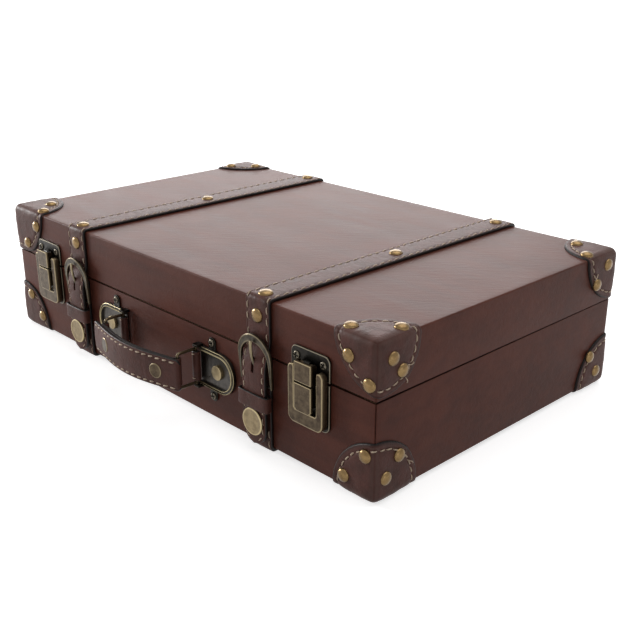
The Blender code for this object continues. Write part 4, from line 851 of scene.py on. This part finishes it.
    # The snap's cap is a pressed disc with a rolled rim, over a socket and a stud.
    cap = np.array([(9.0, 0), (9.4, 0.3), (9.4, 1.0), (9.1, 1.4), (8.7, 1.5), (8.3, 1.45), (7.9, 1.35),
                    (5, 1.4), (0.3, 1.45)]) / 1000
    disc = spun(front_place(x, BELT_OUT + STRAP_THICK + 0.0003, CAP_UP), (0, -1, 0), cap)
    assembled("snap_disc_" + side, body, [(*disc, np.repeat([0, 0.1, 0.5, 0.8, 0.6, 0.1, 0, 0, 0], 40))],
              [snap_brass], "brass", ["snap_cap_" + side])


# The latches. Pressed brass: a plate and housing on the base with a spring slider
# in its channel, and a hasp that flips up from a screwed plate on the lid.
LATCH_X = (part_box("latch_plate_right")[0].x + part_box("latch_plate_right")[1].x) / 2
PLATE_BACK, PLATE_FACE = 0.0003, 0.0016
CASE_BACK, CASE_FACE = 0.0019, 0.0063
CHANNEL_HALF, CHANNEL_LOW = 0.0095, 0.0411
FLAP_HALF, FLAP_LOW, FLAP_HIGH, FLAP_FACE = 0.0072, 0.061, 0.074, 0.0083
PIN_UP = 0.0724
SCREW_X, SCREW_UP = 0.0115, 0.0742
# The plates' half width, foot and head, and how round their low and high corners are.
BACK_PLATE = (0.0164, 0.0304, 0.0626, 0.0048, 0)
HOUSING = (0.015, 0.0316, 0.0702, 0.005, 0.0035)
WELL = (0.0101, 0.0405, 0.0629, 0, 0)
STEM = (0.006, 0.0455, 0.0585, 0, 0)
LID_PLATE = (0.0166, 0.0642, 0.0804, 0, 0.0045)
FLAP = (FLAP_HALF, FLAP_LOW, FLAP_HIGH, 0, 0.0006)

# Antique brass: zinc, brass plated and browned, its bevels rubbed back and lit with a
# painted highlight. Black brass: the same under a black lacquer that wears through on
# its edges, which carry the painted highlight too.
antique_brass = metal("antique brass plate", "#3a3026", "#564a3a", "#a89878", 0.36)
black_brass = metal("blackened brass plate", "#191715", "#2a2723", "#8a8170", 0.34)


def rounded(half, low, high, low_round, high_round, steps=6):
    """A rectangle with a quarter circle at each corner, anticlockwise seen from the front."""
    outline = []
    for cx, cy, r, start in ((half - low_round, low + low_round, low_round, -90),
                             (half - high_round, high - high_round, high_round, 0),
                             (-half + high_round, high - high_round, high_round, 90),
                             (-half + low_round, low + low_round, low_round, 180)):
        turns = np.radians(start + np.linspace(0, 90, steps + 1)) if r else np.radians([start + 45])
        outline.append(np.column_stack([cx + r * np.cos(turns), cy + r * np.sin(turns)]))
    return np.concatenate(outline)


def inset(outline, distance):
    """Each point moved in along the mean of its two edges' normals, mitred."""
    before = outline - np.roll(outline, 1, 0)
    after = np.roll(outline, -1, 0) - outline
    before /= np.linalg.norm(before, axis=1, keepdims=True)
    after /= np.linalg.norm(after, axis=1, keepdims=True)
    normal = np.column_stack([-(before + after)[:, 1], (before + after)[:, 0]])
    normal /= np.linalg.norm(normal, axis=1, keepdims=True)
    mitre = np.clip(np.sum(normal * np.column_stack([-before[:, 1], before[:, 0]]), 1), 0.5, 1)
    return outline + normal * (distance / mitre)[:, None]


def pressed(x, outline, back, face, bevel=0.0005, rub_and_highlight=0.7):
    """A plate: its outline from back to face, then bevelled in to the flat."""
    # The bevel is lightened: rubbed, and lit with a painted highlight.
    steps = np.array([(0, back, 0), (0, face - bevel, rub_and_highlight * 0.4),
                      (bevel * 0.35, face - bevel * 0.3, rub_and_highlight), (bevel, face, rub_and_highlight),
                      (bevel * 1.8, face, 0)])
    rings = np.stack([inset(outline, depth) for depth in steps[:, 0]])
    points = front_place(x + rings[..., 0], steps[:, 1:2], rings[..., 1])
    return points.reshape(-1, 3), capped(5, len(outline)), np.repeat(steps[:, 2], len(outline))


def screw_head(x, out, up, spin=0.5):
    """A pan head whose height follows a low dome, less a cross cut into it."""
    size = np.array([2.6, 2.6, 2.45, 2.1, 1.9, 1.5, 1.1, 0.7, 0.3]) / 1000
    level = np.array([0, 0.4, 0.75, 0.95, 1.0, 1.05, 1.1, 1.1, 1.1]) / 1000
    angle = np.linspace(0, 2 * np.pi, 40, endpoint=False)
    a, b = size[:, None] * np.cos(angle), size[:, None] * np.sin(angle)
    cross = (np.minimum(np.abs(a), np.abs(b)) < 0.0006) & (size[:, None] < 0.002)
    across, along = a * math.cos(spin) - b * math.sin(spin), a * math.sin(spin) + b * math.cos(spin)
    points = front_place(x + across, out + level[:, None] - 0.0007 * cross, up + along)
    return points.reshape(-1, 3), capped(9, 40), np.where(cross, 0.0, 0.45).ravel()


for side, x in (("left", -LATCH_X), ("right", LATCH_X)):
    plate = pressed(x, rounded(*BACK_PLATE), PLATE_BACK, PLATE_FACE, 0.0004)
    assembled("latch_back_" + side, "base", [plate], [black_brass], "dark_brass", ["latch_plate_" + side])

    # The housing is a U whose arms stand past the seam, over a blackened channel floor.
    arms = rounded(*HOUSING)
    curve = np.linspace(0, np.pi / 2, 6)
    inner = np.column_stack([CHANNEL_HALF + 0.0018 * (1 - np.sin(curve)), 0.0684 + 0.0018 * np.cos(curve)])
    inner = np.concatenate([inner, [(CHANNEL_HALF, CHANNEL_LOW + 0.001),
                                    (CHANNEL_HALF - 0.001, CHANNEL_LOW)]])
    outline = np.concatenate([arms[:14], inner, (inner * (-1, 1))[::-1], arms[14:]])
    shell = pressed(x, outline, CASE_BACK, CASE_FACE, 0.0006, 0.6)
    well = pressed(x, rounded(*WELL), CASE_BACK, 0.0025, 0.0001, 0)
    assembled("latch_case_" + side, "base", [shell, (*well, 1)], [antique_brass, black_brass], "dark_brass",
              ["latch_housing_" + side])

    # The slider is a button on a stem that runs in the channel.
    button = np.array([(-0.0052, 0.0415), (0.0052, 0.0415), (0.0072, 0.0435), (0.0072, 0.0598),
                       (-0.0072, 0.0598), (-0.0072, 0.0435)])
    button = pressed(x, button, 0.0065, FLAP_FACE, 0.0004)
    stem = pressed(x, rounded(*STEM), 0.0028, 0.0067, 0.0001, 0)
    assembled("latch_button_" + side, "slider_" + side, [button, stem], [antique_brass], "dark_brass",
              ["latch_slider_" + side])

    # The lid's plate holds the pin's lug and two screws. The hasp is a flap on two cheeks.
    plate = pressed(x, rounded(*LID_PLATE), PLATE_BACK, PLATE_FACE, 0.0004)
    lug = rod(front_place(np.array([x - 0.0025, x, x + 0.0025]), 0.0034, PIN_UP), 0.0018, 16)
    heads = [screw_head(x + s * SCREW_X, PLATE_FACE, SCREW_UP, 0.4 + 0.5 * s) for s in (-1, 1)]
    assembled("latch_lid_plate_" + side, "lid", [plate, (*lug, 0), *heads], [black_brass], "dark_brass",
              ["lid_latch_plate_" + side])
    flap = pressed(x, rounded(*FLAP), 0.0063, FLAP_FACE, 0.0004)
    cheek = np.array([(0.0028, FLAP_LOW), (0.0066, FLAP_LOW), (0.0066, FLAP_HIGH), (0.0038, FLAP_HIGH),
                      (0.0028, PIN_UP)])
    cheeks = [(front_place(x + s * np.array([[FLAP_HALF], [0.006]]), cheek[:, 0], cheek[:, 1]).reshape(-1, 3),
               capped(2, 5), 0) for s in (-1, 1)]
    pin = rod(front_place(np.linspace(x - 0.0066, x + 0.0066, 3), 0.0038, PIN_UP), 0.0008)
    assembled("latch_flap_" + side, "hasp_" + side, [flap, *cheeks, (*pin, 0)], [antique_brass], "dark_brass",
              ["latch_hasp_" + side])


# The handle. Two layers of bridle leather, sewn and riveted. The inner one is
# looped round the far bars of two square wire rings, whose near bars carry a
# leather sleeve and turn in lugs on cast end plates screwed to the front.
HANDLE_UP = 0.0365
RING_X = 0.044
RING_OUT = 0.0045
BAR_OUT = 0.020
GRIP_OUT = 0.0253
GRIP_HALF = 0.0515
GRIP_ARCH = 0.0085
# Half of each layer's height, its thickness, and how far up its stitches run.
GRIP_TALL, GRIP_THICK, GRIP_SEW = 0.0113, 0.0024, 0.0093
INNER_TALL, INNER_THICK, INNER_SEW = 0.0106, 0.0022, 0.0083
GRIP_STITCH = (0.0062, 0.0050, 0.0006, 0.0004, 0.12)  # as sewn() takes them
SLEEVE_STITCH = (0.0042, 0.0036, 0.0004, 0.0003, 0)
WIRE_RADIUS = 0.0011
DISH_NEAR, DISH_FAR, DISH_RADIUS = 0.0448, 0.0672, 0.0145
EAR_X, EAR_HALF, EAR_REACH, SCREW_REACH = 0.0577, 0.0037, 0.0232, 0.0195
LUG_X, LUG_HALF, LUG_LOW, LUG_HIGH, LUG_FACE = 0.0446, 0.0026, 0.0139, 0.0158, 0.0062
BOSS_X = 0.064

# Gunmetal plate: the dishes of the end plates, grey, with rubbed rims.
gunmetal = metal("gunmetal plate", "#403d3a", "#504c48", "#a89a76", 0.34)


def bulge(x):
    """How far the grip arches out: a soft cosine from end to end."""
    return GRIP_ARCH * np.cos(np.pi / 2 * np.minimum(np.abs(x) / GRIP_HALF, 1)) ** 1.15


def grip_band(half, wide, back, thick, sew, end_round):
    """A strap section stood on edge and carried along the arch, a little taller in the
    middle, with quarter circles at the corners of both ends. Its back is given at the
    ends. Returns the path, its normals and its upward direction, then the mesh."""
    ends = np.array([0.97, 0.985, 0.995, 1])
    x = half * np.concatenate([-ends[::-1], np.linspace(-0.95, 0.95, 45), ends])
    out = back + bulge(x)
    slope = np.gradient(out, x)
    normal = np.column_stack([-slope, -np.ones(len(x)), np.zeros(len(x))])
    normal /= np.linalg.norm(normal, axis=1, keepdims=True)
    section, cut = strap_section(wide, thick, sew, 0.0005)
    past = np.clip(np.abs(x) - (half - end_round), 0, end_round)
    tall = wide + 0.0004 * bulge(x) / GRIP_ARCH - end_round + np.sqrt(end_round ** 2 - past ** 2)
    curl = np.clip((np.abs(x) - half + 0.002) / 0.002, 0, 1)
    shaped = section[None] * np.stack([tall / wide, 0.35 + 0.65 * np.sqrt(1 - curl ** 2)], -1)[:, None]
    centre = front_place(x, out, HANDLE_UP)
    across = np.tile([0, 0, 1.0], (len(x), 1))
    kinds = np.concatenate([np.tile(cut, len(x) - 1), [0, 0]])
    return centre, normal, across, band(centre, across, normal, shaped), capped(len(x), len(section)), kinds


centre, normal, across, points, faces, kinds = grip_band(
    GRIP_HALF, GRIP_TALL, GRIP_OUT - GRIP_THICK, GRIP_THICK, GRIP_SEW, 0.003)
piece("grip_leather_outer", "grip", points, faces, [leather, edge_paint_and_shade], "leather", kinds,
      hides=["grip_outer"], crease=60)
lines = [(centre[4:-4] + across[4:-4] * q + normal[4:-4] * 0.0021, normal[4:-4])
         for q in (-GRIP_SEW, GRIP_SEW)]
piece("grip_stitching", "grip", *sewn(lines, *GRIP_STITCH), [thread], "leather")

# The inner layer's loops run on round the rings' far bars.
_, _, _, points, faces, kinds = grip_band(
    RING_X, INNER_TALL, GRIP_OUT - 0.0052, INNER_THICK, INNER_SEW, 0.0005)
loop = np.array([(1.4, -9.9), (2.2, -9.95), (2.6, -9.6), (2.6, 0), (2.6, 9.6), (2.2, 9.95),
                 (1.4, 9.9)]) / 1000
loops = [spun(front_place(s * RING_X, BAR_OUT, HANDLE_UP), (0, 0, 1), loop, 24, True) for s in (-1, 1)]
kinds = np.concatenate([kinds, np.tile(np.repeat([1, 0, 0, 0, 0, 1, 0], 24), 2)])
piece("grip_leather_inner", "grip", *joined((points, faces), *loops), [leather, edge_paint_and_shade], "leather", kinds,
      hides=["grip_inner"], crease=60)

# Two flat rivets hold the layers, each square to the arch where it sits.
rivet = np.array([(5.0, 0), (5.4, 0.4), (5.3, 0.8), (4.9, 1.05), (4.4, 1.0), (2, 1.1), (0.2, 1.12)]) / 1000
discs = []
for x in (-0.0295, 0.032):
    slope = (bulge(x + 0.0005) - bulge(x - 0.0005)) / 0.001
    outward = np.array([-slope, -1, 0]) / math.hypot(slope, 1)
    spot = front_place(x, GRIP_OUT + bulge(x), HANDLE_UP) - outward * 0.0003
    discs.append((*spun(spot, outward, rivet, 28), np.repeat([0, 0.2, 0.4, 0.3, 0, 0, 0], 28)))
assembled("grip_rivets", "grip", discs, [antique_brass], "brass")

for side, s in (("left", -1), ("right", 1)):
    # The ring is a rounded square of wire with two pins that turn in the lugs.
    body = "ring_" + side
    bend = np.linspace(0, np.pi / 2, 5)
    corner, high = 0.0018, 0.0125
    straight = np.column_stack([np.full(3, BAR_OUT), np.linspace(0, high - corner, 4)[:-1]])
    curve = np.column_stack([BAR_OUT - corner * (1 - np.cos(bend)), high - corner * (1 - np.sin(bend))])
    quarter = np.concatenate([straight, curve])
    middle = (BAR_OUT + RING_OUT) / 2
    half_loop = np.concatenate([quarter, (quarter * (-1, 1) + (2 * middle, 0))[::-1]])
    loop = np.concatenate([half_loop, (half_loop * (1, -1))[::-1][1:-1]])
    wire = rod(front_place(s * RING_X, loop[:, 0], HANDLE_UP + loop[:, 1]), WIRE_RADIUS, ring=True)
    reach = np.array([0.0095, high, LUG_HIGH])
    pins = [rod(front_place(s * RING_X, RING_OUT, HANDLE_UP + way * reach), WIRE_RADIUS) for way in (-1, 1)]
    assembled("ring_wire_" + side, body, [(*wire, 0.12), (*pins[0], 0), (*pins[1], 0)], [antique_brass],
              "dark_brass", ["handle_ring_" + side], 60)

    # The sleeve is a strip of leather wrapped round the near bar and sewn at its ends.
    sleeve = np.array([(1.4, -10.6), (2.2, -10.8), (2.75, -10.4), (2.8, -9.2), (2.62, -8.9), (2.8, -8.6),
                       (2.8, 0), (2.8, 8.6), (2.62, 8.9), (2.8, 9.2), (2.75, 10.4), (2.2, 10.8),
                       (1.4, 10.6)]) / 1000
    tube = spun(front_place(s * RING_X, RING_OUT, HANDLE_UP), (0, 0, 1), sleeve, 28, True)
    kinds = np.repeat([1, 1, 0, 0, 0, 0, 0, 0, 0, 0, 1, 1, 0], 28)
    piece("sleeve_leather_" + side, body, *tube, [leather, edge_paint_and_shade], "leather", kinds,
          hides=["handle_tab_" + side], crease=60)
    rounds = np.linspace(0, 2 * np.pi, 40)
    about = np.stack([np.cos(rounds), np.sin(rounds), np.zeros(40)], -1)
    lines = [(front_place(s * RING_X, RING_OUT, HANDLE_UP + way * 0.0089) + about * 0.00265, about)
             for way in (-1, 1)]
    piece("sleeve_stitching_" + side, body, *sewn(lines, *SLEEVE_STITCH), [thread], "leather")

    # The end plate is a cast dish with a rim of two ridges, screw ears and two lugs.
    arc = np.linspace(np.pi / 2, -np.pi / 2, 25)
    arc = np.column_stack([np.cos(arc), np.sin(arc)])
    outline, path = [np.concatenate([[(DISH_NEAR, r)], (DISH_FAR, 0) + r * arc, [(DISH_NEAR, -r)]])
                     for r in (DISH_RADIUS, DISH_RADIUS - 0.0015)]
    outline = np.column_stack([outline[:, 0] * s, outline[:, 1] + HANDLE_UP])[::-s]
    shells = [(*pressed(0, outline, 0.0003, 0.0013, 0.0003, 0), 0)]
    ahead = np.gradient(path, axis=0)
    ahead /= np.linalg.norm(ahead, axis=1, keepdims=True)
    away = np.column_stack([-ahead[:, 1], ahead[:, 0]])
    # Across the rim: how far out of its path, how high, and how rubbed.
    bead = np.array([(1.5, 0.8, 0), (1.5, 2.0, 0), (1.35, 2.6, 0.5), (1.1, 2.75, 1), (0.85, 2.6, 0.6),
                     (0.6, 2.0, 0), (-0.2, 2.1, 0), (-0.55, 3.0, 0.4), (-0.85, 3.4, 1), (-1.15, 3.3, 0.8),
                     (-1.45, 2.4, 0), (-1.6, 0.8, 0)]) * (1e-3, 1e-3, 1)
    points = front_place(s * (path[:, None, 0] + away[:, None, 0] * bead[None, :, 0]), bead[None, :, 1],
                         HANDLE_UP + path[:, None, 1] + away[:, None, 1] * bead[None, :, 0])
    shells.append((points.reshape(-1, 3), capped(len(path), len(bead)), np.tile(bead[:, 2], len(path)), 0))
    ear = rounded(EAR_HALF, HANDLE_UP - EAR_REACH, HANDLE_UP + EAR_REACH, 0.0034, 0.0034)
    shells.append((*pressed(s * EAR_X, ear, 0.0004, 0.0012, 0.0002, 0.05), 1))
    for way in (-1, 1):
        low, high = sorted((HANDLE_UP + way * LUG_LOW, HANDLE_UP + way * LUG_HIGH))
        lug = np.array([(-LUG_HALF, low), (LUG_HALF, low), (LUG_HALF, high), (-LUG_HALF, high)])
        shells.append((*pressed(s * LUG_X, lug, 0.0006, LUG_FACE, 0.0007, 0.05), 1))
        shells.append((*screw_head(s * EAR_X, 0.0012, HANDLE_UP + way * SCREW_REACH, 0.3), 1))
    assembled("handle_end_plate_" + side, "base", shells, [gunmetal, black_brass], "dark_brass",
              ["handle_plate_" + side])
    boss = np.array([(5.2, 0), (5.2, 1.8), (5.0, 2.3), (4.5, 2.5), (0.2, 2.55)]) / 1000
    head = spun(front_place(s * BOSS_X, 0.001, HANDLE_UP), (0, -1, 0), boss, 32)
    assembled("handle_end_rivet_" + side, "base", [(*head, np.repeat([0, 0.1, 0.4, 0.2, 0.1], 32))],
              [snap_brass], "brass")


# The hinges and studs keep the frame's own shapes: plain butt hinges of antique
# brass behind, and turned brass studs under the belts' snaps.
for name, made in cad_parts.items():
    if name.startswith(("hinge_", "snap_stud")):
        made.data.materials.clear()
        made.data.materials.append(antique_brass if name.startswith("hinge_") else tack_brass)


# The boards and linings keep the frame's shapes too. Paulownia board: pale, sawn,
# with straight grain about 3 mm wide, glued up into two trays.
board, tree, shader, place_of = finish("sawn paulownia board", 0.6)
stretch = node(tree, "Mapping", {"Vector": place_of, "Scale": (6, 220, 220)})
grain = node(tree, "TexNoise", {"Vector": stretch, "Scale": 1.5, "Detail": 5})
tan = node(tree, "Mix", {0: grain, 6: linear("#9d7a52"), 7: linear("#cfae81")}, data_type="RGBA")
bump = node(tree, "Bump", {"Height": grain, "Strength": 0.3, "Distance": 0.0003})
feed(shader, {"Base Color": tan, "Normal": bump})

# Lining: brown cotton cloth, plain woven at about a millimetre a thread so that it shows.
cloth, tree, shader, place_of = finish("plain woven cotton lining", 0.9, Sheen_Weight=0.3)
warp, weft = [node(tree, "TexWave", {"Vector": place_of, "Scale": 160, "Distortion": 0.6},
                   bands_direction=way).outputs["Fac"] for way in "XY"]
weave = node(tree, "Math", {0: warp, 1: weft}, operation="MULTIPLY")
tan = node(tree, "Mix", {0: weave, 6: linear("#6d5641"), 7: linear("#b39775")}, data_type="RGBA")
bump = node(tree, "Bump", {"Height": weave, "Strength": 0.5, "Distance": 0.0003})
feed(shader, {"Base Color": tan, "Normal": bump})
for name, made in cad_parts.items():
    if name.endswith(("_board", "_lining")):
        made.data.materials.clear()
        made.data.materials.append(board if name.endswith("_board") else cloth)

low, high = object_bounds()
